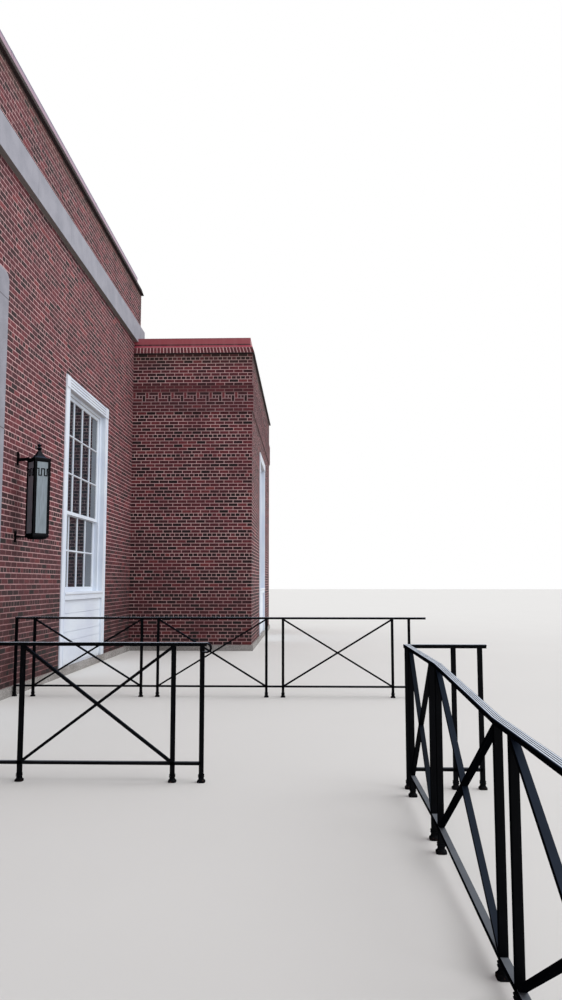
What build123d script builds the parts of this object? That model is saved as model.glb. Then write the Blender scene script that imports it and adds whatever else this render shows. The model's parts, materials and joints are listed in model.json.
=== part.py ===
from build123d import *
import os
from math import atan, atan2, degrees, hypot, sqrt

os.makedirs("parts", exist_ok=True)

# A brick post office: a tall main block between two lower wings that stand forward of it.
# Millimetres. X runs along the front, Y into the building, Z up. The origin is on the
# ground, at the middle of the entrance, on the outer face of the main front wall.

# Brickwork, counted in courses from the top of the stone base
course_height = 69.85
wall = 330.0
base_height = 120.0
base_projection = 30.0

# Main block
main_half_length = 9370.0
main_depth = 14000.0
main_wall_courses = 112
main_fascia_height = 180.0
main_fascia_setback = 74.0
main_parapet = 450.0
main_roof_thickness = 250.0
floor_thickness = 60.0

# Limestone frieze round the main block
frieze_first_course = 92
frieze_courses = 6
frieze_projection = 76.0

# Wings
wing_overlap = 620.0
wing_width = 7870.0
wing_forward = 2540.0
wing_backward = 10000.0
wing_wall_courses = 90
wing_parapet = 350.0
wing_roof_thickness = 200.0
wing_fascia_height = 160.0
wing_fascia_setback = 40.0

# Courses that stand proud: the bevelled rowlock under each coping's flashing, and the band of the fret
rowlock_courses = 2
rowlock_projection = 50.0
rowlock_head = 6.0
flashing_height = 54.0
band_first_course = 70
band_courses = 8
band_projection = 25.0

# Passage between the hall and each wing
passage_width = 1800.0
passage_height = 2400.0
passage_centre = 4000.0

# Windows: casing, jamb, sill, two sashes and a boarded apron down to the stone base
window_head_courses = 64
main_window_centre = 5315.0
main_window_width = 2590.0
wing_window_width = 2280.0
side_window_spacing = 5200.0
casing_width = 190.0
casing_proud = 12.0
casing_depth = 60.0
jamb_side_step = 80.0
jamb_head_step = 45.0
jamb_depth = 200.0
sill_top = 1250.0
sill_height = 120.0
sill_proud = 20.0
sash_thickness = 43.0
sash_gap = 2.0
upper_sash_setback = 85.0
upper_sash_low = 2470.0
stile_width = 65.0
top_rail_height = 48.0
meeting_rail_height = 50.0
sash_foot_height = 68.0
pane_thickness = 6.0
apron_setback = 25.0
apron_thickness = 100.0

# Entrance
surround_half_width = 1395.0
surround_height = 5145.0
surround_band = 420.0
surround_projection = 107.0
surround_roll = 75.0
surround_corner = 160.0
door_frame_width = 120.0
door_frame_depth = 150.0
door_frame_setback = 100.0
door_height = 2340.0
transom_bar_height = 120.0
door_thickness = 45.0
door_gap = 4.0
door_stile = 115.0
door_bottom_rail = 420.0

# Lanterns, square in plan and set cornerwise on two arms
lantern_centre = 2085.0
lantern_reach = 280.0
lantern_side = 215.0
lantern_low = 1960.0
lantern_body_height = 970.0
lantern_cap_height = 60.0
lantern_spire_height = 230.0
lantern_tray_height = 55.0
lantern_bar = 24.0
lantern_glass_thickness = 5.0
arm_width = 22.0
lower_arm_height = 22.0
upper_arm_height = 44.0
upper_plate_rise = 35.0
arm_plate_width = 60.0
arm_plate_height = 140.0
arm_plate_thickness = 12.0

# Iron railings
rail_height = 972.0
post_size = 31.0
handrail_width = 45.0
handrail_thickness = 14.0
channel_height = 12.0
bottom_rail_middle = 130.0
bottom_rail_height = 22.0
brace_width = 20.0
brace_thickness = 28.0
shoe_size = 56.0
shoe_height = 20.0
collar_size = 42.0
collar_height = 50.0
pair_spacing = 205.0
shortest_braced_bay = 500.0
landing_rail_place = 2100.0
landing_bay = 1343.0
landing_bays = 3
far_wall_spacing = 230.0
near_wall_bay = 1163.0
near_bay = 1090.0
return_radius = 37.5
return_reach = 68.0
walk_rail_place = -4367.0
walk_rail_start = -2230.0
walk_first_post = -2430.0
walk_first_bay = 885.0
walk_bay = 1320.0
walk_bays = 4
walk_pair_spacing = 222.0
walk_drop = 64.0
step_rail_bay = 319.0
step_pair_spacing = 182.0

# Heights and places that follow from the sizes above
wing_inner = main_half_length - wing_overlap
wing_outer = wing_inner + wing_width
main_wall_top = base_height + main_wall_courses * course_height
wing_wall_top = base_height + wing_wall_courses * course_height
main_roof_top = main_wall_top - main_parapet
wing_roof_top = wing_wall_top - wing_parapet
rowlock_height = rowlock_courses * course_height
frieze_low = base_height + frieze_first_course * course_height
frieze_height = frieze_courses * course_height
window_head = base_height + window_head_courses * course_height
window_height = window_head - base_height
wing_middle = (wing_inner + wing_outer) / 2
wing_back_middle = (main_half_length + wing_outer) / 2
wing_depth_middle = (wing_backward - wing_forward) / 2
side_windows = [wing_depth_middle - side_window_spacing / 2, wing_depth_middle + side_window_spacing / 2]
entrance_half_width = surround_half_width - surround_band
entrance_head = surround_height - surround_band
band = (base_height + band_first_course * course_height, band_courses * course_height, band_projection,
        band_projection)
wing_rowlock = (wing_wall_top - rowlock_height, rowlock_height, rowlock_projection, rowlock_head)
main_rowlock = (main_wall_top - rowlock_height, rowlock_height, rowlock_projection, rowlock_head)


def keep(part, name):
    """Label a finished piece and write it to its own file."""
    part.label = name
    export_step(part, f"parts/{name}.step")


def block(x0, x1, y0, y1, z0, z1, mode=Mode.ADD):
    """Box between two corners, added to the part being built."""
    with Locations(((x0 + x1) / 2, (y0 + y1) / 2, (z0 + z1) / 2)):
        Box(x1 - x0, y1 - y0, z1 - z0, mode=mode)


def patch(x0, x1, y0, y1, mode=Mode.ADD):
    """Rectangle between two corners, added to the sketch being drawn."""
    with Locations(((x0 + x1) / 2, (y0 + y1) / 2)):
        Rectangle(x1 - x0, y1 - y0, mode=mode)


def bevelled(foot, head, low, height):
    """Course between two level rectangles, the lower one standing further out."""
    with BuildSketch(Plane.XY.offset(low)) as lower:
        patch(*foot)
    with BuildSketch(Plane.XY.offset(low + height)) as upper:
        patch(*head)
    loft([lower.sketch.faces()[0], upper.sketch.faces()[0]])


def to_side(side):
    """Turn a piece built on the right into its twin on the left."""
    if side == "left":
        mirror(about=Plane.YZ, mode=Mode.REPLACE)


def window_plane(x, y, turn):
    """Plane on a wall's outer face, x along the wall, y up, z outwards."""
    facing = {"front": (0, -1, 0), "back": (0, 1, 0), "right": (1, 0, 0), "left": (-1, 0, 0)}[turn]
    along = (-facing[1], facing[0], 0)
    return Plane(origin=(x, y, 0), x_dir=along, z_dir=facing)


# Main block walls
with BuildPart() as main_front_wall:
    with BuildSketch(Plane.XZ):
        patch(-main_half_length, main_half_length, base_height, main_wall_top)
        for centre in (-main_window_centre, main_window_centre):
            patch(centre - main_window_width / 2, centre + main_window_width / 2, base_height, window_head,
                  mode=Mode.SUBTRACT)
        patch(-entrance_half_width, entrance_half_width, base_height, entrance_head, mode=Mode.SUBTRACT)
    extrude(amount=-wall)
    low, height, proud, head = main_rowlock
    bevelled((-main_half_length - proud, main_half_length + proud, -proud, 0),
             (-main_half_length - head, main_half_length + head, -head, 0), low, height)
keep(main_front_wall.part, "main_front_wall")

with BuildPart() as main_back_wall:
    with BuildSketch(Plane.XZ.offset(-main_depth)):
        patch(-main_half_length, main_half_length, base_height, main_wall_top)
        for centre in (-main_window_centre, 0, main_window_centre):
            patch(centre - main_window_width / 2, centre + main_window_width / 2, base_height, window_head,
                  mode=Mode.SUBTRACT)
    extrude(amount=wall)
    low, height, proud, head = main_rowlock
    bevelled((-main_half_length - proud, main_half_length + proud, main_depth, main_depth + proud),
             (-main_half_length - head, main_half_length + head, main_depth, main_depth + head), low, height)
keep(main_back_wall.part, "main_back_wall")

for side in ("left", "right"):
    with BuildPart() as main_side_wall:
        with BuildSketch(Plane.YZ.offset(main_half_length)):
            patch(wall, main_depth - wall, base_height, main_wall_top)
            patch(passage_centre - passage_width / 2, passage_centre + passage_width / 2, base_height,
                  floor_thickness + passage_height, mode=Mode.SUBTRACT)
        extrude(amount=-wall)
        low, height, proud, head = main_rowlock
        bevelled((main_half_length, main_half_length + proud, 0, main_depth),
                 (main_half_length, main_half_length + head, 0, main_depth), low, height)
        to_side(side)
    keep(main_side_wall.part, f"main_{side}_wall")

# Frieze, coping, roof and floor of the main block
with BuildPart() as stone_frieze:
    with BuildSketch(Plane.XY.offset(frieze_low)):
        reach = main_half_length + frieze_projection
        patch(-reach, reach, -frieze_projection, main_depth + frieze_projection)
        patch(-main_half_length, main_half_length, 0, main_depth, mode=Mode.SUBTRACT)
    extrude(amount=frieze_height)
keep(stone_frieze.part, "stone_frieze")

with BuildPart() as main_coping:
    with BuildSketch(Plane.XY.offset(main_wall_top)):
        reach = rowlock_head
        patch(-main_half_length - reach, main_half_length + reach, -reach, main_depth + reach)
    extrude(amount=flashing_height,
            taper=degrees(atan((rowlock_head + main_fascia_setback) / flashing_height)))
    fascia_low = main_wall_top + flashing_height
    fascia_high = fascia_low + main_fascia_height
    inset = main_fascia_setback
    block(-main_half_length + inset, main_half_length - inset, inset, main_depth - inset, fascia_low, fascia_high)
    inset = wall + main_fascia_setback
    block(-main_half_length + inset, main_half_length - inset, inset, main_depth - inset, main_wall_top,
          fascia_high, mode=Mode.SUBTRACT)
keep(main_coping.part, "main_coping")

with BuildPart() as main_roof:
    with BuildSketch(Plane.XY.offset(main_roof_top)):
        patch(-main_half_length + wall, main_half_length - wall, wall, main_depth - wall)
    extrude(amount=-main_roof_thickness)
keep(main_roof.part, "main_roof")

with BuildPart() as main_floor:
    with BuildSketch(Plane.XY):
        patch(-main_half_length + wall, main_half_length - wall, wall, main_depth - wall)
        patch(-main_half_length, main_half_length, passage_centre - passage_width / 2,
              passage_centre + passage_width / 2)
    extrude(amount=floor_thickness)
keep(main_floor.part, "main_floor")

# Stone base under every outer wall, open at the entrance and at the two passages
with BuildPart() as stone_base:
    with BuildSketch(Plane.XY):
        out = base_projection
        patch(-main_half_length, main_half_length, -out, main_depth + out)
        patch(wing_inner - out, wing_outer + out, -wing_forward - out, wing_backward + out)
        patch(-wing_outer - out, -wing_inner + out, -wing_forward - out, wing_backward + out)
        patch(-main_half_length + wall, main_half_length - wall, wall, main_depth - wall, mode=Mode.SUBTRACT)
        patch(main_half_length, wing_outer - wall, -wing_forward + wall, wing_backward - wall, mode=Mode.SUBTRACT)
        patch(-wing_outer + wall, -main_half_length, -wing_forward + wall, wing_backward - wall,
              mode=Mode.SUBTRACT)
        patch(wing_inner + wall, main_half_length, -wing_forward + wall, 0, mode=Mode.SUBTRACT)
        patch(-main_half_length, -wing_inner - wall, -wing_forward + wall, 0, mode=Mode.SUBTRACT)
        patch(-surround_half_width, surround_half_width, -out, 0, mode=Mode.SUBTRACT)
        patch(-entrance_half_width, entrance_half_width, -out, wall, mode=Mode.SUBTRACT)
        patch(-main_half_length, main_half_length, passage_centre - passage_width / 2,
              passage_centre + passage_width / 2, mode=Mode.SUBTRACT)
        for corner in (-main_half_length, main_half_length):
            patch(corner - out if corner < 0 else corner, corner if corner < 0 else corner + out,
                  wing_backward, main_depth + out)
    extrude(amount=base_height)
keep(stone_base.part, "stone_base")


# Wings
def wing_bands(x0, x1, y0, y1, axis, sign):
    """Courses that stand proud of one wing wall, whose outer face is on one side of the given box."""
    for low, height, proud, head in (band, wing_rowlock):
        outlines = []
        for out in (proud, head):
            if axis == "y":
                face = (y0 - out, y0) if sign < 0 else (y1, y1 + out)
                outlines.append((x0 - (out if sign < 0 else 0), x1 + out, *face))
            else:
                face = (x0 - out, x0) if sign < 0 else (x1, x1 + out)
                outlines.append((*face, y0, y1))
        bevelled(*outlines, low, height)


def wing_walk(grow):
    """Plan of a right wing's four wall tops, run on into the main block, widened on both faces."""
    patch(wing_inner - grow, wing_outer + grow, -wing_forward - grow, -wing_forward + wall + grow)
    patch(wing_inner - grow, wing_inner + wall + grow, -wing_forward - grow, wall)
    patch(wing_outer - wall - grow, wing_outer + grow, -wing_forward - grow, wing_backward + grow)
    patch(main_half_length - wall, wing_outer + grow, wing_backward - wall - grow, wing_backward + grow)


for side in ("left", "right"):
    with BuildPart() as wing_front_wall:
        with BuildSketch(Plane.XZ.offset(wing_forward)):
            patch(wing_inner, wing_outer, base_height, wing_wall_top)
            patch(wing_middle - wing_window_width / 2, wing_middle + wing_window_width / 2, base_height,
                  window_head, mode=Mode.SUBTRACT)
        extrude(amount=-wall)
        wing_bands(wing_inner, wing_outer, -wing_forward, -wing_forward + wall, "y", -1)
        to_side(side)
    keep(wing_front_wall.part, f"{side}_wing_front_wall")

    with BuildPart() as wing_inner_wall:
        block(wing_inner, wing_inner + wall, -wing_forward + wall, 0, base_height, wing_wall_top)
        wing_bands(wing_inner, wing_inner + wall, -wing_forward, 0, "x", -1)
        to_side(side)
    keep(wing_inner_wall.part, f"{side}_wing_inner_wall")

    with BuildPart() as wing_outer_wall:
        with BuildSketch(Plane.YZ.offset(wing_outer)):
            patch(-wing_forward + wall, wing_backward - wall, base_height, wing_wall_top)
            for centre in side_windows:
                patch(centre - wing_window_width / 2, centre + wing_window_width / 2, base_height, window_head,
                      mode=Mode.SUBTRACT)
        extrude(amount=-wall)
        wing_bands(wing_outer - wall, wing_outer, -wing_forward, wing_backward, "x", 1)
        to_side(side)
    keep(wing_outer_wall.part, f"{side}_wing_outer_wall")

    with BuildPart() as wing_back_wall:
        with BuildSketch(Plane.XZ.offset(-wing_backward)):
            patch(main_half_length, wing_outer, base_height, wing_wall_top)
            patch(wing_back_middle - wing_window_width / 2, wing_back_middle + wing_window_width / 2,
                  base_height, window_head, mode=Mode.SUBTRACT)
        extrude(amount=wall)
        wing_bands(main_half_length, wing_outer, wing_backward - wall, wing_backward, "y", 1)
        to_side(side)
    keep(wing_back_wall.part, f"{side}_wing_back_wall")

    with BuildPart() as wing_coping:
        with BuildSketch(Plane.XY.offset(wing_wall_top)):
            wing_walk(rowlock_head)
        extrude(amount=flashing_height,
                taper=degrees(atan((rowlock_head + wing_fascia_setback) / flashing_height)))
        with BuildSketch(Plane.XY.offset(wing_wall_top + flashing_height)):
            wing_walk(-wing_fascia_setback)
        extrude(amount=wing_fascia_height)
        block(0, main_half_length, 0, main_depth, 0, main_wall_top, mode=Mode.SUBTRACT)
        reach = frieze_projection
        block(0, main_half_length + reach, -reach, main_depth + reach, frieze_low, frieze_low + frieze_height,
              mode=Mode.SUBTRACT)
        to_side(side)
    keep(wing_coping.part, f"{side}_wing_coping")

for name, top, thickness in (("wing_roofs", wing_roof_top, wing_roof_thickness),
                             ("wing_floors", floor_thickness, floor_thickness)):
    with BuildPart() as wing_slabs:
        with BuildSketch(Plane.XY.offset(top)):
            patch(wing_inner + wall, wing_outer - wall, -wing_forward + wall, 0)
            patch(main_half_length, wing_outer - wall, 0, wing_backward - wall)
        extrude(amount=-thickness)
        mirror(about=Plane.YZ)
    keep(wing_slabs.part, name)

# Windows
windows = {
    "front": [
        (window_plane(-main_window_centre, 0, "front"), main_window_width),
        (window_plane(main_window_centre, 0, "front"), main_window_width),
        (window_plane(-wing_middle, -wing_forward, "front"), wing_window_width),
        (window_plane(wing_middle, -wing_forward, "front"), wing_window_width),
    ],
    "side": [
        (window_plane(reach, centre, turn), wing_window_width)
        for reach, turn in ((-wing_outer, "left"), (wing_outer, "right"))
        for centre in side_windows
    ],
    "back": [
        (window_plane(centre, main_depth, "back"), main_window_width)
        for centre in (-main_window_centre, 0, main_window_centre)
    ] + [
        (window_plane(centre, wing_backward, "back"), wing_window_width)
        for centre in (-wing_back_middle, wing_back_middle)
    ],
}
jamb_head = window_head - casing_width - jamb_head_step
lower_sash_top = upper_sash_low + meeting_rail_height
lower_sash_setback = upper_sash_setback + sash_thickness + sash_gap


def sash(plane, half_width, low, high, rails, setback):
    """One sash: stiles and rails round a single light, set back from the wall's face."""
    with BuildSketch(plane.offset(-setback)) as outline:
        patch(-half_width, half_width, low, high)
        patch(-half_width + stile_width, half_width - stile_width, low + rails[0], high - rails[1],
              mode=Mode.SUBTRACT)
    extrude(outline.sketch, amount=-sash_thickness)


def pane(plane, half_width, low, high, rails, setback):
    """The glass that fills one sash."""
    with BuildSketch(plane.offset(-setback - (sash_thickness - pane_thickness) / 2)) as light:
        patch(-half_width + stile_width, half_width - stile_width, low + rails[0], high - rails[1])
    extrude(light.sketch, amount=-pane_thickness)


for facade, places in windows.items():
    with BuildPart() as window_frames:
        for plane, width in places:
            half = width / 2
            with BuildSketch(plane.offset(casing_proud)):
                patch(-half, half, base_height, window_head)
                patch(-half + casing_width, half - casing_width, base_height, window_head - casing_width,
                      mode=Mode.SUBTRACT)
            extrude(amount=-casing_proud - casing_depth)
            with BuildSketch(plane.offset(-casing_depth)):
                patch(-half, half, base_height, window_head)
                inset = casing_width + jamb_side_step
                patch(-half + inset, half - inset, base_height, jamb_head, mode=Mode.SUBTRACT)
            extrude(amount=casing_depth - jamb_depth)
            with BuildSketch(plane.offset(sill_proud)):
                patch(-half + casing_width, half - casing_width, sill_top - sill_height, sill_top)
            extrude(amount=-sill_proud - jamb_depth)
    keep(window_frames.part, f"{facade}_window_frames")

    with BuildPart() as window_sashes:
        for plane, width in places:
            opening = width / 2 - casing_width - jamb_side_step
            sash(plane, opening, upper_sash_low, jamb_head, (meeting_rail_height, top_rail_height),
                 upper_sash_setback)
            sash(plane, opening, sill_top, lower_sash_top, (sash_foot_height, meeting_rail_height),
                 lower_sash_setback)
    keep(window_sashes.part, f"{facade}_window_sashes")

    with BuildPart() as window_glass:
        for plane, width in places:
            opening = width / 2 - casing_width - jamb_side_step
            pane(plane, opening, upper_sash_low, jamb_head, (meeting_rail_height, top_rail_height),
                 upper_sash_setback)
            pane(plane, opening, sill_top, lower_sash_top, (sash_foot_height, meeting_rail_height),
                 lower_sash_setback)
    keep(window_glass.part, f"{facade}_window_glass")

    with BuildPart() as window_aprons:
        for plane, width in places:
            half = width / 2 - casing_width
            inset = casing_width + jamb_side_step
            with BuildSketch(plane.offset(-apron_setback)):
                patch(-half, half, base_height, sill_top - sill_height)
            extrude(amount=apron_setback - casing_depth)
            with BuildSketch(plane.offset(-casing_depth)):
                patch(-half + jamb_side_step, half - jamb_side_step, base_height, sill_top - sill_height)
            extrude(amount=casing_depth - apron_setback - apron_thickness)
    keep(window_aprons.part, f"{facade}_window_aprons")

# Entrance: limestone surround with a rounded roll, timber frame, two doors and glass
with BuildPart() as entrance_surround:
    with BuildSketch(Plane.XZ):
        patch(-surround_half_width, surround_half_width, 0, surround_height)
        fillet(vertices().group_by(Axis.Y)[-1], radius=surround_corner)
        patch(-entrance_half_width, entrance_half_width, 0, entrance_head, mode=Mode.SUBTRACT)
    extrude(amount=surround_projection)
    front_edges = edges().group_by(Axis.Y)[0]
    ground_edges = front_edges.group_by(Axis.Z)[0]
    fillet([edge for edge in front_edges if edge not in ground_edges], radius=surround_roll)
keep(entrance_surround.part, "entrance_surround")

frame_inner = entrance_half_width - door_frame_width
transom_low = floor_thickness + door_height
transom_high = transom_low + transom_bar_height
frame_head = entrance_head - door_frame_width
with BuildPart() as entrance_frame:
    with BuildSketch(Plane.XZ.offset(-door_frame_setback)):
        patch(-entrance_half_width, entrance_half_width, floor_thickness, entrance_head)
        patch(-frame_inner, frame_inner, floor_thickness, transom_low, mode=Mode.SUBTRACT)
        patch(-frame_inner, frame_inner, transom_high, frame_head, mode=Mode.SUBTRACT)
    extrude(amount=-door_frame_depth)
keep(entrance_frame.part, "entrance_frame")

door_face = door_frame_setback + (door_frame_depth - door_thickness) / 2
door_glass_low = floor_thickness + door_bottom_rail
door_glass_high = transom_low - door_stile
with BuildPart() as entrance_doors:
    with BuildSketch(Plane.XZ.offset(-door_face)):
        for sign in (-1, 1):
            edge_a, edge_b = sorted((sign * door_gap / 2, sign * frame_inner))
            patch(edge_a, edge_b, floor_thickness + door_gap, transom_low - door_gap)
            patch(edge_a + door_stile, edge_b - door_stile, door_glass_low, door_glass_high, mode=Mode.SUBTRACT)
    extrude(amount=-door_thickness)
keep(entrance_doors.part, "entrance_doors")

with BuildPart() as entrance_glass:
    with BuildSketch(Plane.XZ.offset(-door_face - (door_thickness - pane_thickness) / 2)):
        for sign in (-1, 1):
            edge_a, edge_b = sorted((sign * door_gap / 2, sign * frame_inner))
            patch(edge_a + door_stile, edge_b - door_stile, door_glass_low, door_glass_high)
        patch(-frame_inner, frame_inner, transom_high, frame_head)
    extrude(amount=-pane_thickness)
keep(entrance_glass.part, "entrance_glass")

with BuildPart() as doorstep:
    block(-entrance_half_width, entrance_half_width, -surround_projection, wall, 0, floor_thickness)
keep(doorstep.part, "doorstep")

# Lanterns
lantern_spots = [(-lantern_centre, -lantern_reach), (lantern_centre, -lantern_reach)]
lantern_top = lantern_low + lantern_body_height
glass_low = lantern_low + lantern_tray_height
glass_high = lantern_top - lantern_cap_height
corner_reach = (lantern_side - lantern_bar) / sqrt(2)
with BuildPart() as lantern_frames:
    for x, y in lantern_spots:
        for low, height in ((lantern_low, lantern_tray_height), (glass_high, lantern_cap_height)):
            with BuildSketch(Plane.XY.offset(low)):
                with Locations((x, y)):
                    Rectangle(lantern_side, lantern_side, rotation=45)
            extrude(amount=height)
        with BuildSketch(Plane.XY.offset(glass_low)):
            for dx, dy in ((-1, 0), (1, 0), (0, -1), (0, 1)):
                with Locations((x + dx * corner_reach, y + dy * corner_reach)):
                    Rectangle(lantern_bar, lantern_bar, rotation=45)
        extrude(amount=glass_high - glass_low)
        with BuildSketch(Plane(origin=(x, y, lantern_top), x_dir=(1, 0, 0), z_dir=(0, -1, 0))) as spire:
            with BuildLine():
                cap = Spline((lantern_side * 0.46, 0), (lantern_side * 0.26, lantern_spire_height * 0.17),
                             (lantern_side * 0.07, lantern_spire_height * 0.42), tangents=((0, 1), (-0.2, 1)))
                ball = ThreePointArc(cap @ 1, (lantern_side * 0.11, lantern_spire_height * 0.5),
                                     (lantern_side * 0.05, lantern_spire_height * 0.58))
                Polyline(ball @ 1, (lantern_side * 0.02, lantern_spire_height), (0, lantern_spire_height),
                         (0, 0), cap @ 0)
            make_face()
        revolve(spire.sketch, axis=Axis((x, y, lantern_top), (0, 0, 1)))
keep(lantern_frames.part, "lantern_frames")

with BuildPart() as lantern_glass:
    for x, y in lantern_spots:
        with BuildSketch(Plane.XY.offset(glass_low)):
            pane_side = lantern_side - 2 * lantern_bar
            with Locations((x, y)):
                Rectangle(pane_side, pane_side, rotation=45)
                Rectangle(pane_side - 2 * lantern_glass_thickness, pane_side - 2 * lantern_glass_thickness,
                          rotation=45, mode=Mode.SUBTRACT)
        extrude(amount=glass_high - glass_low)
keep(lantern_glass.part, "lantern_glass")

arms = ((lantern_low, lower_arm_height, 0.0),
        (lantern_top - upper_arm_height, upper_arm_height, upper_plate_rise))
with BuildPart() as lantern_brackets:
    for x, y in lantern_spots:
        for low, height, rise in arms:
            level = low + height / 2 + rise
            block(x - arm_plate_width / 2, x + arm_plate_width / 2, -arm_plate_thickness, 0,
                  level - arm_plate_height / 2, level + arm_plate_height / 2)
            block(x - arm_width / 2, x + arm_width / 2, y + lantern_side / sqrt(2), -arm_plate_thickness,
                  low, low + height)
keep(lantern_brackets.part, "lantern_brackets")


# Railings
def lowered(line, place):
    """How far a rail has come down at one place along it."""
    for (start, drop), (end, next_drop) in zip(line, line[1:]):
        if place <= end:
            return drop + (next_drop - drop) * (place - start) / (end - start)
    return line[-1][1]


def bar(plane, line, low, high, depth):
    """Bar between two heights that follows a line of places and drops."""
    with BuildSketch(plane) as outline:
        with BuildLine():
            Polyline(*[(place, high - drop) for place, drop in line],
                     *[(place, low - drop) for place, drop in reversed(line)], close=True)
        make_face()
    extrude(outline.sketch, amount=depth / 2, both=True)


def railing(plane, posts, line):
    """Posts on shoes, a handrail on a channel, a bottom rail and crossed braces in each wide bay."""
    handrail_low = rail_height - handrail_thickness
    channel_low = handrail_low - channel_height
    with BuildSketch(plane) as uprights:
        for post in posts:
            patch(post - post_size / 2, post + post_size / 2, 0, channel_low - lowered(line, post))
    extrude(uprights.sketch, amount=post_size / 2, both=True)
    for size, height in ((shoe_size, shoe_height), (collar_size, collar_height)):
        with BuildSketch(plane) as shoes:
            for post in posts:
                patch(post - size / 2, post + size / 2, 0, height)
        extrude(shoes.sketch, amount=size / 2, both=True)
    bar(plane, line, channel_low, handrail_low, post_size)
    bar(plane, line, handrail_low, rail_height, handrail_width)
    low = bottom_rail_middle - bottom_rail_height / 2
    inner = [(place, drop) for place, drop in line if posts[0] < place < posts[-1]]
    span = [(posts[0], 0)] + inner + [(posts[-1], lowered(line, posts[-1]))]
    bar(plane, span, low, low + bottom_rail_height, post_size)
    for left, right in zip(posts, posts[1:]):
        run = right - left
        if run > shortest_braced_bay:
            fall = lowered(line, right) - lowered(line, left)
            rise = channel_low - bottom_rail_middle
            middle = bottom_rail_middle + rise / 2 - lowered(line, (left + right) / 2)
            with BuildSketch(plane) as braces:
                with Locations(((left + right) / 2, middle)):
                    for slope in (rise - fall, -rise - fall):
                        Rectangle(hypot(run, slope), brace_width, rotation=degrees(atan2(slope, run)))
            extrude(braces.sketch, amount=brace_thickness / 2, both=True)


def rail_return(plane, post):
    """Handrail end that turns down in a half ring and comes back to the last post."""
    inner_radius = return_radius - handrail_thickness
    centre = post + return_reach - return_radius
    with BuildSketch(plane) as loop:
        with Locations((centre, rail_height - return_radius)):
            Circle(return_radius)
            Circle(inner_radius, mode=Mode.SUBTRACT)
        patch(centre - return_radius, centre, rail_height - 2 * return_radius, rail_height, mode=Mode.SUBTRACT)
        patch(post, centre, rail_height - 2 * return_radius,
              rail_height - return_radius - inner_radius)
    extrude(loop.sketch, amount=handrail_width / 2, both=True)


def paired_posts(start, bay, bays, spacing):
    """Places of posts that stand in pairs, with a bay between one pair and the next."""
    posts = []
    for index in range(bays + 1):
        first = start + index * (bay + spacing)
        posts += [first, first + spacing]
    return posts


across = (0, -1, 0)
along = (-1, 0, 0)
wall_post = base_projection + shoe_size / 2
far_posts = [wall_post, wall_post + far_wall_spacing]
far_posts += paired_posts(far_posts[-1] + landing_bay, landing_bay, landing_bays - 1, pair_spacing)
near_posts = [wall_post, wall_post + pair_spacing]
near_posts += paired_posts(near_posts[-1] + near_wall_bay, near_bay, 1, pair_spacing)
with BuildPart() as far_rail:
    railing(Plane(origin=(landing_rail_place, 0, 0), x_dir=across, z_dir=(-1, 0, 0)), far_posts,
            [(far_posts[0] - post_size / 2, 0), (far_posts[-1] + pair_spacing, 0)])
keep(far_rail.part, "far_rail")

with BuildPart() as near_rail:
    near_plane = Plane(origin=(-landing_rail_place, 0, 0), x_dir=across, z_dir=(-1, 0, 0))
    railing(near_plane, near_posts,
            [(near_posts[0] - post_size / 2, 0), (near_posts[-1] + return_reach - return_radius, 0)])
    rail_return(near_plane, near_posts[-1])
keep(near_rail.part, "near_rail")

walk_second = -walk_first_post + walk_first_bay
walk_posts = [-walk_first_post] + paired_posts(walk_second, walk_bay, walk_bays - 1, walk_pair_spacing)
with BuildPart() as walk_rail:
    railing(Plane(origin=(0, walk_rail_place, 0), x_dir=along, z_dir=(0, 1, 0)), walk_posts,
            [(-walk_rail_start + handrail_width / 2, 0), (walk_posts[2], 0), (walk_posts[3], walk_drop),
             (walk_posts[-1] + post_size / 2, walk_drop)])
keep(walk_rail.part, "walk_rail")

step_start = -walk_rail_place
step_posts = [step_start, step_start + step_rail_bay, step_start + step_rail_bay + step_pair_spacing]
with BuildPart() as step_rail:
    railing(Plane(origin=(walk_rail_start, 0, 0), x_dir=across, z_dir=(-1, 0, 0)), step_posts,
            [(step_start - handrail_width / 2, 0), (step_posts[-1] + handrail_width, 0)])
keep(step_rail.part, "step_rail")
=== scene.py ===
"""Dresses a brick post office: bond, joinery, stone, lanterns, railings, copings and studio."""

import json
import logging
import math
from dataclasses import dataclass
from enum import Enum

import bpy
import numpy as np
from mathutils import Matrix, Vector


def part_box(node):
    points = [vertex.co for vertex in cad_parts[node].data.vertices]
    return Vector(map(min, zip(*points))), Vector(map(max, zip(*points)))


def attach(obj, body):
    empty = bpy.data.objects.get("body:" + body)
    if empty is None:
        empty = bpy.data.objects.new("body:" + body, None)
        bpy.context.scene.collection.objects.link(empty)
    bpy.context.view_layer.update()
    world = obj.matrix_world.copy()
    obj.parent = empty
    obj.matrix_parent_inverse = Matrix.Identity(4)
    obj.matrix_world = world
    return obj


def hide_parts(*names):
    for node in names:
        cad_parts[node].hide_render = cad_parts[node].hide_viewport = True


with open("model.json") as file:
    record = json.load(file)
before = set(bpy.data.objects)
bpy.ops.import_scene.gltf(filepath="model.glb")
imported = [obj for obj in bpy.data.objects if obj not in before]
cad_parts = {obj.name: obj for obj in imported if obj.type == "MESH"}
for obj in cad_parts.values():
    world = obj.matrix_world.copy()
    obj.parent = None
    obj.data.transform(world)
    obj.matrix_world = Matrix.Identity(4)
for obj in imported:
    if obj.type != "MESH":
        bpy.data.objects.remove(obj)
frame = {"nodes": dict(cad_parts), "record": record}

logging.basicConfig(level=logging.INFO, format="%(message)s")
log = logging.getLogger("post_office")

Array = np.ndarray
Values = float | Array
Span = Values | tuple[Values, Values]
Pair = tuple[float, float]
Sizes = tuple[float, ...]
Colour = tuple[float, float, float, float]
Stop = tuple[float, str]
Socket = bpy.types.NodeSocket
Material = bpy.types.Material
Finishes = dict[str, Material]

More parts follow.
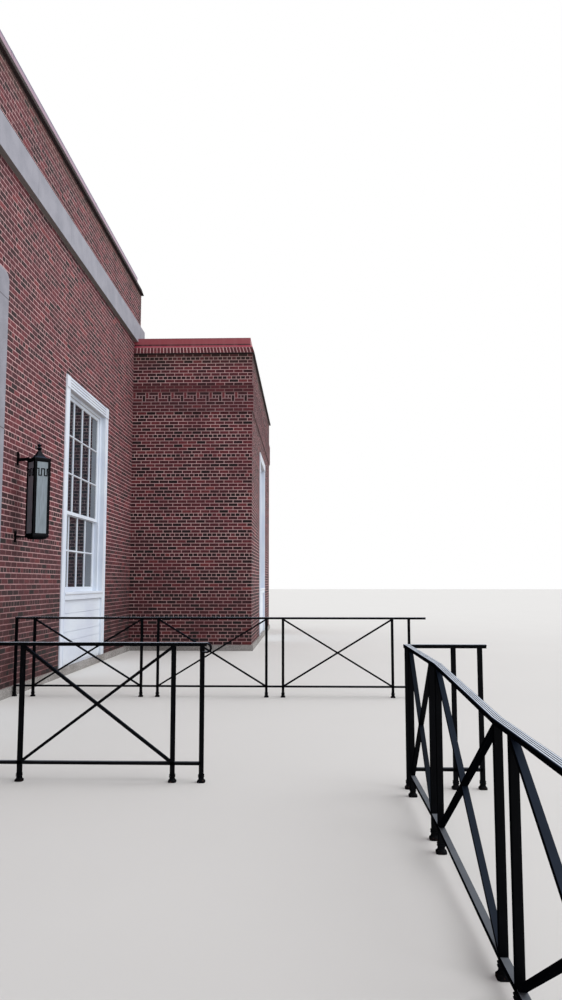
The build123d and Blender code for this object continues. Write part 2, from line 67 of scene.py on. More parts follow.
COURSE = 0.06985
JOINT = 0.0125
HALF_BRICK = 0.09705
SHORTEST_BRICK = 0.022
BASE = 0.120
BRICK_PROUD = 0.002
BAND_PROUD = 0.025
BAND_LOW, BAND_HIGH = 70, 78
FRET_LOW, FRET_HIGH = 73, 76
MAIN_HALF = 9.370
MAIN_DEPTH = 14.000
WING_INNER = 8.750
WING_OUTER = 16.620
WING_FRONT = 2.540
WING_BACK = 10.000
WING_DEPTH = WING_BACK + WING_FRONT
WALL = 0.330
MAIN_COURSES = 112
WING_COURSES = 90
MAIN_TOP = BASE + MAIN_COURSES * COURSE
WING_TOP = BASE + WING_COURSES * COURSE
MAIN_LEDGE = MAIN_TOP - 2 * COURSE
WING_LEDGE = WING_TOP - 2 * COURSE
FRIEZE_LOW = BASE + 92 * COURSE
FRIEZE_HIGH = BASE + 98 * COURSE
WINDOW_HEAD = BASE + 64 * COURSE
MAIN_WINDOW = 2.590
WING_WINDOW = 2.280
MAIN_WINDOW_PLACE = 5.315
BACK_WINDOW_PLACES = (-MAIN_WINDOW_PLACE, 0.0, MAIN_WINDOW_PLACE)
SIDE_WINDOW_PLACES = (1.130, 6.330)
# Share at the ground and colour of the painted shade on the hall's foot.
HALL_FOOT_SHADE = (1.0, "8a7272")
NEAR = 1e-6


def paint(code: str) -> Colour:
    """Turns an sRGB hex colour to linear light: c / 12.92, or ((c + 0.055) / 1.055)**2.4 over 0.04045.

    Args:
        code: red, green and blue.

    Returns:
        Linear red, green, blue and a full alpha.
    """
    parts = np.array([int(code[i:i + 2], 16) for i in (0, 2, 4)]) / 255.0
    linear = np.where(parts <= 0.04045, parts / 12.92, ((parts + 0.055) / 1.055) ** 2.4)
    return (*linear.tolist(), 1.0)


def per(size: float) -> float:
    """Pattern scale for a feature of a real size in millimetres."""
    return 1000.0 / size


def rows(*columns: Values) -> Array:
    """Puts numbers and arrays side by side as the last axis of one array."""
    return np.stack(np.broadcast_arrays(*columns), -1).astype(float)


def add_node(tree: bpy.types.NodeTree, kind: str, links: dict | None = None, out: int | str = 0,
             stops: tuple[Stop, ...] = (), **settings: object) -> Socket:
    """Adds a node with its settings and links.

    Args:
        tree: the material's or the world's node tree.
        kind: the node's type after the word ShaderNode.
        links: a socket, a number or a hex colour for each input, by name or number.
        out: which output is wanted.
        stops: a colour ramp's places and hex colours, its two ends first.
        settings: the node's own properties.

    Returns:
        The wanted output.
    """
    node = tree.nodes.new("ShaderNode" + kind)
    for name, value in settings.items():
        setattr(node, name, value)
    for key, value in (links or {}).items():
        if isinstance(value, Socket):
            tree.links.new(value, node.inputs[key])
        else:
            node.inputs[key].default_value = paint(value) if isinstance(value, str) else value
    for number, (position, code) in enumerate(stops):
        ramp = node.color_ramp.elements
        stop = ramp[number] if number < 2 else ramp.new(position)
        stop.position, stop.color = position, paint(code)
    return node.outputs[out]


class Recipe:
    """One finish's node tree; its colour is what has been mixed so far."""

    def __init__(self, name: str, roughness: float, inputs: tuple[tuple[str, float], ...] = ()) -> None:
        """Starts a material with its shader and the object's own coordinates.

        Args:
            name: what the real material is.
            roughness: the shader's roughness.
            inputs: the shader's other inputs that aren't as usual.
        """
        self.material = bpy.data.materials.new(name)
        self.material.use_nodes = True
        self.tree = self.material.node_tree
        self.shader = self.tree.nodes["Principled BSDF"]
        for key, value in (("Roughness", roughness), *inputs):
            self.shader.inputs[key].default_value = value
        self.place = self.add("TexCoord", out="Object")
        self.colour = None

    def add(self, kind: str, *rest: object, **settings: object) -> Socket:
        """Adds a node to the finish, as add_node does."""
        return add_node(self.tree, kind, *rest, **settings)

    def noise(self, size: float, detail: float, tall: float = 0.0) -> Socket:
        """Adds cloudy noise.

        Args:
            size: the width of its features in millimetres.
            detail: its octaves.
            tall: their height, where it isn't their width.

        Returns:
            The noise, from 0 to 1.
        """
        if not tall:
            return self.add("TexNoise", {"Vector": self.place, "Scale": per(size), "Detail": detail})
        drawn = self.add("Mapping", {"Vector": self.place, "Scale": (per(size), per(size), per(tall))})
        return self.add("TexNoise", {"Vector": drawn, "Scale": 1.0, "Detail": detail})

    def ramp(self, value: Socket, *stops: Stop) -> Socket:
        """Turns a value to a colour."""
        return self.add("ValToRGB", {"Fac": value}, stops=stops)

    def times(self, one: Socket, other: Socket | float) -> Socket:
        """Multiplies two values."""
        return self.add("Math", {0: one, 1: other}, operation="MULTIPLY")

    def span(self, value: Socket, low: float, high: float, first: float = 0.0, last: float = 1.0) -> Socket:
        """Goes from first, at and under a low value, to last, at and over a high one."""
        return self.add("MapRange", {"Value": value, "From Min": low, "From Max": high, "To Min": first,
                                     "To Max": last})

    def level(self, low: float, high: float, first: float = 0.0, last: float = 1.0) -> Socket:
        """Goes from first, at and under a low height, to last, at and over a high one."""
        return self.span(self.add("SeparateXYZ", {0: self.place}, "Z"), low, high, first, last)

    def belt(self, low: float, foot: float, head: float, high: float, share: float) -> Socket:
        """Gives a share between the heights foot and head, and none under low and over high."""
        return self.times(self.level(low, foot, 0.0, share), self.level(head, high, 1.0, 0.0))

    def facing(self, way: float) -> Socket:
        """How far a face looks up, for way 1, or down, for way -1: from 0 to 1."""
        height = self.add("SeparateXYZ", {0: self.add("NewGeometry", out="Normal")}, "Z")
        return self.add("Math", {0: height, 1: way}, operation="MULTIPLY", use_clamp=True)

    def own_tone(self) -> Socket:
        """Each face's own tone, from 0 to 1."""
        return self.add("Attribute", out="Fac", attribute_name="tone")

    def cover(self, share: Socket | float, colour: Socket | str, blend: str = "MIX") -> None:
        """Lays a share of a colour over what has been mixed so far."""
        self.colour = self.add("Mix", {0: share, 6: self.colour, 7: colour}, 2, data_type="RGBA",
                               blend_type=blend)

    def speckle(self, share: float, pattern: Socket, low: Stop, high: float) -> None:
        """Darkens the colour by a pattern.

        Args:
            share: how much of it.
            pattern: values from 0 to 1.
            low: where it darkens most, and by which colour.
            high: the value from which it darkens nothing.
        """
        self.cover(share, self.ramp(pattern, low, (high, "ffffff")), "MULTIPLY")

    def brown_band_and_shadow_line(self, ledge: float, share: float, brown: str) -> None:
        """Browns the wall in a band under a ledge and paints a dark shadow line just under the ledge.

        Args:
            ledge: its height.
            share: the brown's share at the ledge.
            brown: the band's colour.
        """
        self.cover(self.belt(ledge - 0.30, ledge, ledge, ledge + 0.004, share), brown)
        # Painted shadow: a near-black line just under the ledge.
        self.cover(self.belt(ledge - 0.016, ledge - 0.008, ledge + 0.006, ledge + 0.009, 0.9), "160d0f")

    def shaded_foot(self, most: float, dirt: str) -> None:
        """Paints shade on a wall's foot, darker towards the ground: most at the ground, gone at 2.6 m, in
        patches of 300 mm.

        Args:
            most: the painted shade's share at the ground.
            dirt: the painted shade's colour, which multiplies the colour.
        """
        # Painted shade on the wall's foot, uneven in patches.
        uneven = self.span(self.noise(300, 4.0), 0.35, 0.6, 0.75)
        self.cover(self.times(self.level(0.4, 2.6, most, 0.0), uneven), dirt, "MULTIPLY")

    def shade_soffits(self, share: float, colour: str) -> None:
        """Paints shade on the faces that look down."""
        self.cover(self.times(self.facing(-1.0), share), colour)

    def finish(self, height: Socket, depth: float, strength: float) -> Material:
        """Puts the colour and the relief on the shader.

        Args:
            height: the relief, from 0 to 1.
            depth: how many metres 1 stands for.
            strength: the relief's share.

        Returns:
            The material.
        """
        bump = self.add("Bump", {"Height": height, "Distance": depth, "Strength": strength})
        self.tree.links.new(bump, self.shader.inputs["Normal"])
        self.tree.links.new(self.colour, self.shader.inputs["Base Color"])
        return self.material


@dataclass(frozen=True)
class FacingBrick:
    """Wire-cut clay brick, flashed in the kiln: matt, each its own tone, browner under a ledge, with painted
    shade there, on soffits and at the foot.
    """

    name: str
    ledge: float
    # Painted shade on the wall's foot: its share at the ground and its colour.
    foot_shade: Stop = (0.75, "b4a0a0")
    tones: tuple[str, ...] = ("190c10", "2d141a", "472027", "5f2932", "72323b", "843b42", "954648")

    def material(self) -> Material:
        """Builds the brick: its own tone, kiln blotches of 40 mm, a 3 mm grain and wire drag marks.

        Returns:
            The material.
        """
        recipe = Recipe(self.name, 0.88)
        steps = [(index / (len(self.tones) - 1), code) for index, code in enumerate(self.tones)]
        recipe.colour = recipe.ramp(recipe.own_tone(), steps[0], steps[-1], *steps[1:-1])
        recipe.speckle(0.7, recipe.noise(40, 3.0), (0.3, "a49a9e"), 0.7)
        recipe.speckle(0.6, recipe.noise(3, 2.0), (0.35, "b8aeb2"), 0.66)
        # A brown band under the ledge and a painted shadow line just under it.
        recipe.brown_band_and_shadow_line(self.ledge, 0.5, "43372f")
        # Painted shade on the wall's foot, darker towards the ground.
        recipe.shaded_foot(*self.foot_shade)
        # Painted near-black shade on faces that look down.
        recipe.shade_soffits(0.85, "120c0e")
        return recipe.finish(recipe.noise(17, 3.0, 1.1), 0.0012, 0.8)


@dataclass(frozen=True)
class Mortar:
    """Lime and sand mortar, tooled: matt, pale pink, sandy, brown under ledges, with painted shade there, on
    soffits and at the foot; plaster indoors.

    A band is a lowest course, a share and a colour of dirt, and ends with the wall's own band; crown is the
    share of painted shade on the mortar of the bricks on edge, which lie in the coping's shadow.
    """

    name: str
    ledge: float
    bands: tuple[tuple[float, float, str], ...] = ()
    body: str = "eac6c5"
    stain: str = "cda5a7"
    crown_shade: float = 0.0
    # Painted shade on the wall's foot: its share at the ground and its colour.
    foot_shade: Stop = (0.75, "b4a0a0")
    rooms: tuple[Sizes, ...] = ((0.0, 7.0, 9.165, 6.795, 7.49), (12.685, 3.73, 3.73, 6.065, 6.05))

    def indoors(self, recipe: Recipe, room: Sizes) -> Socket:
        """Tells whether a place is in a room or in its mirror image.

        Args:
            recipe: the mortar's node tree.
            room: centre's x and y, half sizes in x and y, and ceiling height.

        Returns:
            1 inside, 0 outside.
        """
        centre_x, centre_y, *half_sizes = room
        none = (0.0, 0.0, 0.0)
        place = recipe.add("Mapping", {"Vector": recipe.place, "Location": (0.0, -centre_y, 0.0)})
        for operation, other in (("ABSOLUTE", none), ("SUBTRACT", (centre_x, 0.0, 0.0)), ("ABSOLUTE", none),
                                 ("SUBTRACT", half_sizes), ("MAXIMUM", none)):
            place = recipe.add("VectorMath", {0: place, 1: other}, operation=operation)
        past = recipe.add("VectorMath", {0: place}, "Value", operation="LENGTH")
        return recipe.add("Math", {0: past, 1: 0.0001}, operation="LESS_THAN")

    def material(self) -> Material:
        """Builds the mortar: 2 mm sand over slow stains of half a metre, and smooth plaster indoors.

        Returns:
            The material.
        """
        recipe = Recipe(self.name, 0.95)
        cloud, sand = recipe.noise(450, 4.0), recipe.noise(2, 1.0)
        recipe.colour = recipe.ramp(cloud, (0.35, self.stain), (0.58, self.body))
        # A brown band under the ledge and a painted shadow line just under it.
        recipe.brown_band_and_shadow_line(self.ledge, 0.6, "85735f")
        # Painted shade on the mortar of the bricks on edge, under the coping.
        recipe.cover(recipe.level(self.ledge, self.ledge + 0.004, 0.0, self.crown_shade), "3d322f")
        head = BASE + BAND_HIGH * COURSE
        for low, share, dirt in self.bands:
            foot = BASE + low * COURSE
            recipe.cover(recipe.belt(foot, foot + 0.02, head, head + 0.01, share), dirt)
        # Painted shade on the wall's foot, darker towards the ground.
        recipe.shaded_foot(*self.foot_shade)
        # Painted dark shade on faces that look down.
        recipe.shade_soffits(0.85, "2a1a1c")
        recipe.speckle(0.4, sand, (0.3, "a29a9c"), 0.7)
        plaster = recipe.ramp(cloud, (0.3, "c9c3b8"), (0.7, "d8d3c9"))
        for room in self.rooms:
            recipe.cover(self.indoors(recipe, room), plaster)
        return recipe.finish(sand, 0.0012, 0.8)


@dataclass(frozen=True)
class CutStone:
    """Sawn and rubbed limestone: pale blue-grey, matt, soft blotches, faint rain runs, painted shade on
    soffits.
    """

    name: str = "rubbed_limestone"
    light: str = "9c9ca7"
    dark: str = "8f909b"
    # Colour of the painted shade on faces that look down.
    under: str = "6b645b"
    joints: Sizes = ()

    def material(self) -> Material:
        """Builds the stone; its bed joints are thin dark lines at fixed heights.

        Returns:
            The material.
        """
        recipe = Recipe(self.name, 0.8)
        recipe.colour = recipe.ramp(recipe.noise(330, 5.0), (0.36, self.dark), (0.62, self.light))
        recipe.cover(recipe.span(recipe.noise(70, 4.0, 1100), 0.52, 0.75, 0.0, 0.16), "7f8088")
        shell = recipe.add("TexVoronoi", {"Vector": recipe.place, "Scale": per(4)})
        recipe.speckle(0.6, shell, (0.08, "cfccc8"), 0.3)
        for bed in self.joints:
            recipe.cover(recipe.belt(bed - 0.006, bed - 0.004, bed + 0.004, bed + 0.006, 1.0), "4d4a50")
        # Painted shade on faces that look down.
        recipe.shade_soffits(0.85, self.under)
        return recipe.finish(shell, 0.0008, 0.5)


@dataclass(frozen=True)
class ChippedStone:
    """Stone of crystals or chips, each its own tone: fine-picked granite, ground terrazzo."""

    name: str
    roughness: float
    chip: float
    stops: tuple[Stop, ...]
    depth: float
    strength: float
    dirt: float

    def material(self) -> Material:
        """Builds the chips from a cell pattern, under slow dirt of 600 mm.

        Returns:
            The material.
        """
        recipe = Recipe(self.name, self.roughness)
        cell = recipe.add("TexVoronoi", {"Vector": recipe.place, "Scale": per(self.chip)}, "Color")
        grey = recipe.add("SeparateColor", {0: cell})
        recipe.colour = recipe.ramp(grey, *self.stops)
        recipe.speckle(self.dirt, recipe.noise(600, 4.0), (0.35, "b5aeaa"), 0.6)
        return recipe.finish(grey, self.depth, self.strength)


@dataclass(frozen=True)
class PaintedTimber:
    """Softwood joinery under brushed oil paint: cool white, satin, faint brush lines, dusty low down."""

    light: str = "dfe7f2"
    shade: str = "d4dceb"

    def material(self) -> Material:
        """Builds the paint: brush lines 3 mm apart, slow yellowing, dust low down, painted brown shade on
        soffits.

        Returns:
            The material.
        """
        recipe = Recipe("brushed_white_oil_paint", 0.38)
        recipe.colour = recipe.ramp(recipe.noise(750, 4.0), (0.35, self.shade), (0.6, self.light))
        recipe.cover(recipe.times(recipe.level(0.1, 0.55, 0.4, 0.0), recipe.noise(80, 5.0)), "8f8880")
        # Painted brown shade on faces that look down.
        recipe.shade_soffits(0.75, "93877e")
        return recipe.finish(recipe.noise(3, 2.0, 80), 0.0004, 0.5)


@dataclass(frozen=True)
class SmoothFinish:
    """Glass, metal, sealant or a plain floor: one noise sways its tone and its relief a little."""

    name: str
    roughness: float
    size: float
    detail: float
    stops: tuple[Stop, Stop]
    depth: float
    strength: float
    tall: float = 0.0
    inputs: tuple[tuple[str, float], ...] = ()

    def material(self) -> Material:
        """Builds the finish.

        Returns:
            The material.
        """
        recipe = Recipe(self.name, self.roughness, self.inputs)
        wave = recipe.noise(self.size, self.detail, self.tall)
        recipe.colour = recipe.ramp(wave, *self.stops)
        return recipe.finish(wave, self.depth, self.strength)


@dataclass(frozen=True)
class PaintedSheet:
    """Factory-painted sheet metal, folded on site: satin, slightly wavy, chalked by weather."""

    name: str
    foot: float
    flashing: str
    # Colour of the painted shadow line under the fascia's drip.
    drip_shadow: str
    fascia: str
    rim: str
    chalk: str
    top: str
    reach: float = 0.240

    def material(self) -> Material:
        """Builds the paint: flashing, a dark painted shadow line under the fascia's drip, fascia and rim
        follow each other upwards.

        Returns:
            The material.
        """
        recipe = Recipe(self.name, 0.42)
        # The dark band between flashing and fascia is a painted shadow under the fascia's drip.
        recipe.colour = recipe.ramp(
            recipe.level(self.foot, self.foot + self.reach), (0.0, self.flashing), (0.89, self.rim),
            (0.225, self.flashing), (0.235, self.drip_shadow), (0.335, self.drip_shadow), (0.35, self.fascia),
            (0.82, self.fascia))
        recipe.cover(recipe.span(recipe.facing(1.0), 0.8, 0.95, 0.0, 0.85), self.top)
        recipe.cover(recipe.span(recipe.noise(110, 5.0, 600), 0.42, 0.75, 0.0, 0.35), self.chalk)
        # Painted near-black shade on faces that look down.
        recipe.shade_soffits(0.8, "1d1215")
        return recipe.finish(recipe.noise(380, 2.0), 0.006, 0.3)


@dataclass(frozen=True)
class BlackIronPaint:
    """Forged and welded iron under black gloss paint: black sides, with a pale painted reflection of the sky
    on level faces.

    The ramp runs from an upright face to a level one: only what lies nearly level takes the painted sky
    reflection. The piece's own tone tells how much of it each part takes: 0 for a shoe, 1 for a handrail.
    """

    name: str = "black_gloss_paint_on_iron"
    # A ramp from upright to level faces: the painted reflection of the sky, pale and bluish on level faces.
    sky_reflection_ramp: tuple[Stop, ...] = ((0.0, "050609"), (0.985, "d3dce9"), (0.55, "090b10"), (0.8, "1d2530"),
                              (0.93, "364154"))

    def material(self) -> Material:
        """Builds the paint: a painted sky reflection on level faces, rust at the feet, orange peel, a sheen
        seen head on.

        Returns:
            The material.
        """
        recipe = Recipe(self.name, 0.4)
        glance = recipe.add("LayerWeight", {"Blend": 0.5}, "Facing")
        sheen = recipe.span(glance, 0.2, 0.55, 0.05, 0.0)
        recipe.tree.links.new(sheen, recipe.shader.inputs["Specular IOR Level"])
        dust = recipe.noise(110, 6.0)
        recipe.colour = recipe.ramp(dust, (0.45, "050609"), (0.75, "0d0f14"))
        # Painted sky reflection on level faces, broken up by dust, in each part's own share.
        sky_reflection_share = recipe.times(recipe.span(dust, 0.3, 0.6, 0.85), recipe.own_tone())
        recipe.cover(sky_reflection_share, recipe.ramp(recipe.facing(1.0), *self.sky_reflection_ramp))
        spot = recipe.add("Math", {0: recipe.noise(11, 4.0), 1: recipe.level(0.0, 0.05, 0.14, 0.0)},
                          operation="ADD")
        recipe.cover(recipe.span(spot, 0.74, 0.8, 0.0, 0.8), "4a3026")
        return recipe.finish(recipe.noise(6, 1.0), 0.0006, 0.35)


@dataclass(frozen=True)
class RoofMembrane:
    """Rolled roofing: dark grey, matt, mineral grains, each sheet a little apart in tone, faint dust."""

    tones: tuple[Stop, Stop] = ((0.0, "4f4f51"), (1.0, "666564"))

    def material(self) -> Material:
        """Builds the membrane: the sheet's own tone, faint drifts a metre wide and 3 mm grains.

        Returns:
            The material.
        """
        recipe = Recipe("rolled_roof_membrane", 0.9)
        recipe.colour = recipe.ramp(recipe.own_tone(), *self.tones)
        recipe.speckle(0.7, recipe.noise(1100, 6.0), (0.35, "e2e0de"), 0.65)
        grain = recipe.noise(3, 1.0)
        recipe.speckle(0.6, grain, (0.35, "8a8a8a"), 0.7)
        return recipe.finish(grain, 0.001, 0.7)


LOOKS = {
    "hall_brick": FacingBrick("wire_cut_facing_brick_of_the_hall", MAIN_LEDGE, HALL_FOOT_SHADE),
    "wing_brick": FacingBrick("wire_cut_facing_brick_of_the_wings", WING_LEDGE),
    "hall_mortar": Mortar("tooled_lime_mortar_of_the_hall", MAIN_LEDGE, (), "e6bdbe", "c99fa2", 0.8,
                          HALL_FOOT_SHADE),
    "wing_mortar": Mortar("tooled_lime_mortar_of_the_wings", WING_LEDGE,
                          ((70.0, 0.5, "957a80"), (75.5, 0.6, "6f4b45"))),
    "limestone": CutStone(),
    "surround": CutStone("moulded_limestone", "92929d", "84848f", "6a6560", (1.65, 3.21, 4.78)),
    "granite": ChippedStone("fine_picked_granite", 0.82, 4, (
        (0.0, "4f4d4e"), (1.0, "c3c0be"), (0.25, "83807f"), (0.7, "9c9896")), 0.001, 0.6, 0.6),
    "floor": ChippedStone("ground_terrazzo", 0.35, 10, (
        (0.0, "5f5a55"), (1.0, "b9b2a6"), (0.5, "8b857d")), 0.0002, 0.2, 0.0),
    "painted_wood": PaintedTimber(),
    # Clear glass before a dim hall, with a slow roller wave that bends the reflections; its dark blue-grey
    # colour is painted shade that stands for the dim hall behind.
    "window_glass": SmoothFinish(
        "clear_float_glass", 0.02, 330, 1.0, ((0.3, "373f47"), (0.7, "454e58")), 0.002, 0.25,
        inputs=(("IOR", 1.52), ("Transmission Weight", 0.5), ("Specular IOR Level", 1.1))),
    # Milk white glass that lets a little light through, with faint runs of dust.
    "frosted_glass": SmoothFinish(
        "flashed_opal_glass", 0.25, 11, 3.0, ((0.3, "818e97"), (0.65, "99a6b0")), 0.0003, 0.3, 160,
        (("IOR", 1.5), ("Transmission Weight", 0.2))),
    # The dark drip line on each coping is a painted shadow; the hall's dark flashing is painted shade under
    # its fascia.
    "coping_metal": PaintedSheet("red_painted_sheet_metal", WING_TOP, "982c42", "2a0b12", "9c464f",
                                 "6d4650", "a4636a", "7d3f47"),
    "grey_coping_metal": PaintedSheet("weathered_painted_sheet_metal", MAIN_TOP, "3b2830", "594250",
                                      "9f8296", "66607c", "a9929f", "857b80"),
    # Dark blue-grey bead between coping sheets, with a 6 mm finger ripple.
    "sealant": SmoothFinish("tooled_butyl_sealant", 0.6, 6, 2.0, ((0.3, "332d3d"), (0.7, "453e50")),
                            0.001, 0.5),
    "black_iron": BlackIronPaint(),
    # Its ramp paints the sky's reflection on the lantern's level faces.
    "lantern_iron": BlackIronPaint("black_satin_paint_on_lantern_iron", (
        (0.0, "08090c"), (1.0, "566074"), (0.3, "13151a"), (0.6, "30353f"))),
    "roofing": RoofMembrane(),
    # Door furniture brushed along its length, in lines of 1 mm.
    "steel": SmoothFinish("brushed_stainless_steel", 0.32, 1.1, 2.0, ((0.3, "a3a3a3"), (0.7, "c4c4c4")),
                          0.0003, 0.4, 50, (("Metallic", 1.0),)),
    "studio_floor": SmoothFinish("studio_floor", 0.9, 1700, 3.0, ((0.4, "d4d3d2"), (0.6, "d5d4d3")),
                                 0.0001, 0.1),
}


def dress_nodes(finishes: Finishes) -> None:
    """Gives every CAD node the finish that its slot in the record names.

    Args:
        finishes: the materials, by slot or by their own name.
    """
    special = {"entrance_surround": "surround", "lantern_brackets": "lantern_iron"}
    for part in frame["record"]["subparts"]:
        name, slot = part["node"], part["material_slot"]
        walls = "hall_mortar" if name.startswith("main") else "wing_mortar"
        materials = frame["nodes"][name].data.materials
        materials.clear()
        materials.append(finishes[special.get(name, slot if slot in finishes else walls)])


@dataclass(frozen=True)
class Panel:
    """A wall's own axes: u along it as seen from outside, v up, n out of it."""

    origin: tuple[float, float, float]
    along: tuple[float, float, float]
    out: tuple[float, float, float]

    def place(self, local: Array) -> Array:
        """Turns points in u, v, n to the building's frame: origin + u * along + v * up + n * out."""
        return np.asarray(self.origin) + local @ np.array([self.along, (0.0, 0.0, 1.0), self.out])


class Way(Enum):
    """Which way a face looks, as the axes along it and out of it."""

    FRONT = ((1, 0, 0), (0, -1, 0))
    RIGHT = ((0, 1, 0), (1, 0, 0))
    BACK = ((-1, 0, 0), (0, 1, 0))
    LEFT = ((0, -1, 0), (-1, 0, 0))

    def at(self, x: float, y: float) -> Panel:
        """The axes of a face whose u starts at a place on the ground."""
        return Panel((x, y, 0), *self.value)


FLANKS = ((-1, Way.LEFT), (1, Way.RIGHT))
BOX_CORNERS = np.array([[0, 0, 0], [1, 0, 0], [1, 1, 0], [0, 1, 0],
                        [0, 0, 1], [1, 0, 1], [1, 1, 1], [0, 1, 1]])
BOX_FACES = np.array([[4, 5, 6, 7], [0, 3, 2, 1], [0, 1, 5, 4], [3, 7, 6, 2], [1, 2, 6, 5], [0, 4, 7, 3]])


def limit(end: int, *spans: Span) -> Array:
    """One end of spans of u, v and n, as rows; a single value stands for both ends."""
    return np.atleast_2d(rows(*(span[end] if isinstance(span, tuple) else span for span in spans)))


def put(name: str, data: bpy.types.ID) -> bpy.types.Object:
    """Makes an object in the scene.

    Args:
        name: its name.
        data: its mesh, lamp or camera.

    Returns:
        The object.
    """
    thing = bpy.data.objects.new(name, data)
    bpy.context.scene.collection.objects.link(thing)
    return thing


class Shell:
    """A piece's points and faces, gathered as whole arrays; shapes are given in its panel's axes."""

    def __init__(self, name: str, panel: Panel = Way.FRONT.at(0, 0)) -> None:
        """Starts an empty piece.

        Args:
            name: the piece's name.
            panel: the axes of its first shapes.
        """
        self.name = name
        self.panel = panel
        self.points: list[Array] = []
        self.faces: list[Array] = []
        self.tones: list[Array] = []
        self.count = 0

    def add(self, points: Array, groups: list[Array], tones: Values) -> None:
        """Adds faces over new points.

        Args:
            points: places in u, v, n.
            groups: rows of indices into these points, one group for each number of corners.
            tones: one tone for each face of a single group, or one for all.
        """
        self.points.append(self.panel.place(points).reshape(-1, 3))
        for faces in groups:
            self.faces.append(faces + self.count)
            self.tones.append(np.broadcast_to(tones, len(faces)).astype(float))
        self.count += len(self.points[-1])

    def hexes(self, corners: Array, tones: Values = 0.5) -> None:
        """Adds six-sided blocks.

        Args:
            corners: an (n, 8, 3) array, in the order of BOX_CORNERS.
            tones: one tone for each block, or one for all.
        """
        count = len(corners)
        faces = (BOX_FACES[None] + 8 * np.arange(count)[:, None, None]).reshape(-1, 4)
        self.add(corners, [faces], np.repeat(np.broadcast_to(tones, count), 6))

    def blocks(self, along: Span, up: Span, out: Span, tones: Values = 0.5) -> None:
        """Adds blocks between two corners: corner = low where its digit is 0, high where it is 1.

        Args:
            along: lowest and highest u.
            up: the same for v.
            out: the same for n.
            tones: one tone for each block, or one for all.
        """
        low, high = (limit(end, along, up, out)[:, None] for end in (0, 1))
        self.hexes(low * (1 - BOX_CORNERS) + high * BOX_CORNERS, tones)

    def sweeps(self, rings: Array, tone: float = 0.5) -> None:
        """Adds tubes: each ring's points are joined to the next ring's, and the end rings are closed.

        Args:
            rings: an (n, stations, points, 3) array, each ring anticlockwise about the way it travels.
            tone: one for all.
        """
        index = np.arange(rings[..., 0].size).reshape(rings.shape[:-1])
        here, there = index[:, :-1], index[:, 1:]
        sides = np.stack([here, np.roll(here, -1, 2), np.roll(there, -1, 2), there], -1).reshape(-1, 4)
        self.add(rings, [sides, index[:, 0, ::-1], index[:, -1]], tone)

    def turned(self, steps: Array, around: int) -> None:
        """Adds a turned or square form about the panel's upright axis: (r cos t, height, -r sin t).

        Args:
            steps: radius and height of each ring.
            around: points in a ring.
        """
        radius, height = np.asarray(steps).T[..., None]
        turn = np.linspace(0.0, 2 * math.pi, around, endpoint=False)
        self.sweeps(rows(radius * np.cos(turn), height, -radius * np.sin(turn))[None])

    def bars(self, profile: Array, along: Span, up: Span, out: Span, tone: float = 0.5) -> None:
        """Adds straight bars: point = end + a * side + b * out, where side is out crossed with the bar's way.

        Args:
            profile: an anticlockwise outline of a and b.
            along: u at the bars' starts and ends, or one for both.
            up: the same for v.
            out: the same for n.
            tone: one for all.
        """
        starts, ends = np.broadcast_arrays(limit(0, along, up, out), limit(1, along, up, out))
        way = ends - starts
        way /= np.linalg.norm(way, axis=1, keepdims=True)
        outwards = np.array([0.0, 0.0, 1.0])
        side = np.cross(outwards, way)[:, None]
        offset = profile[:, 0, None] * side + profile[:, 1, None] * outwards
        self.sweeps(np.stack([starts[:, None] + offset, ends[:, None] + offset], 1), tone)

    def surround(self, profile: Array, along: Span, up: Span, plane: float) -> None:
        """Adds four bars round a rectangle.

        Args:
            profile: the bars' outline.
            along: lowest and highest u.
            up: the same for v.
            plane: its n.
        """
        u = np.array(along)[[0, 1, 1, 0]]
        v = np.array(up)[[0, 0, 1, 1]]
        self.bars(profile, (u, np.roll(u, -1)), (v, np.roll(v, -1)), plane)

    def build(self, finishes: Finishes, slot: str, look: str = "", smooth: bool = False,
              stands_for: tuple[str, ...] = ()) -> bpy.types.Object:
        """Makes the object, seats it on the building and reports it.

        Args:
            finishes: the materials, by slot or by their own name.
            slot: the record's slot for its finish.
            look: the finish's own name, where the slot has another.
            smooth: whether faces meet softly where they turn by less than 40 degrees.
            stands_for: CAD nodes that it replaces.

        Returns:
            The finished object.
        """
        mesh = bpy.data.meshes.new(self.name)
        faces = [row for group in self.faces for row in group.tolist()]
        mesh.from_pydata(np.concatenate(self.points), [], faces)
        tone = mesh.attributes.new("tone", "FLOAT", "FACE")
        tone.data.foreach_set("value", np.concatenate(self.tones))
        if smooth:
            mesh.polygons.foreach_set("use_smooth", np.ones(len(faces), dtype=bool))
            mesh.set_sharp_from_angle(angle=math.radians(40.0))
        mesh.materials.append(finishes[look or slot])
        mesh.update()
        piece = put(self.name, mesh)
        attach(piece, "root")
        if stands_for:
            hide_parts(*stands_for)
        log.info("%s: %d faces", self.name, len(faces))
        return piece


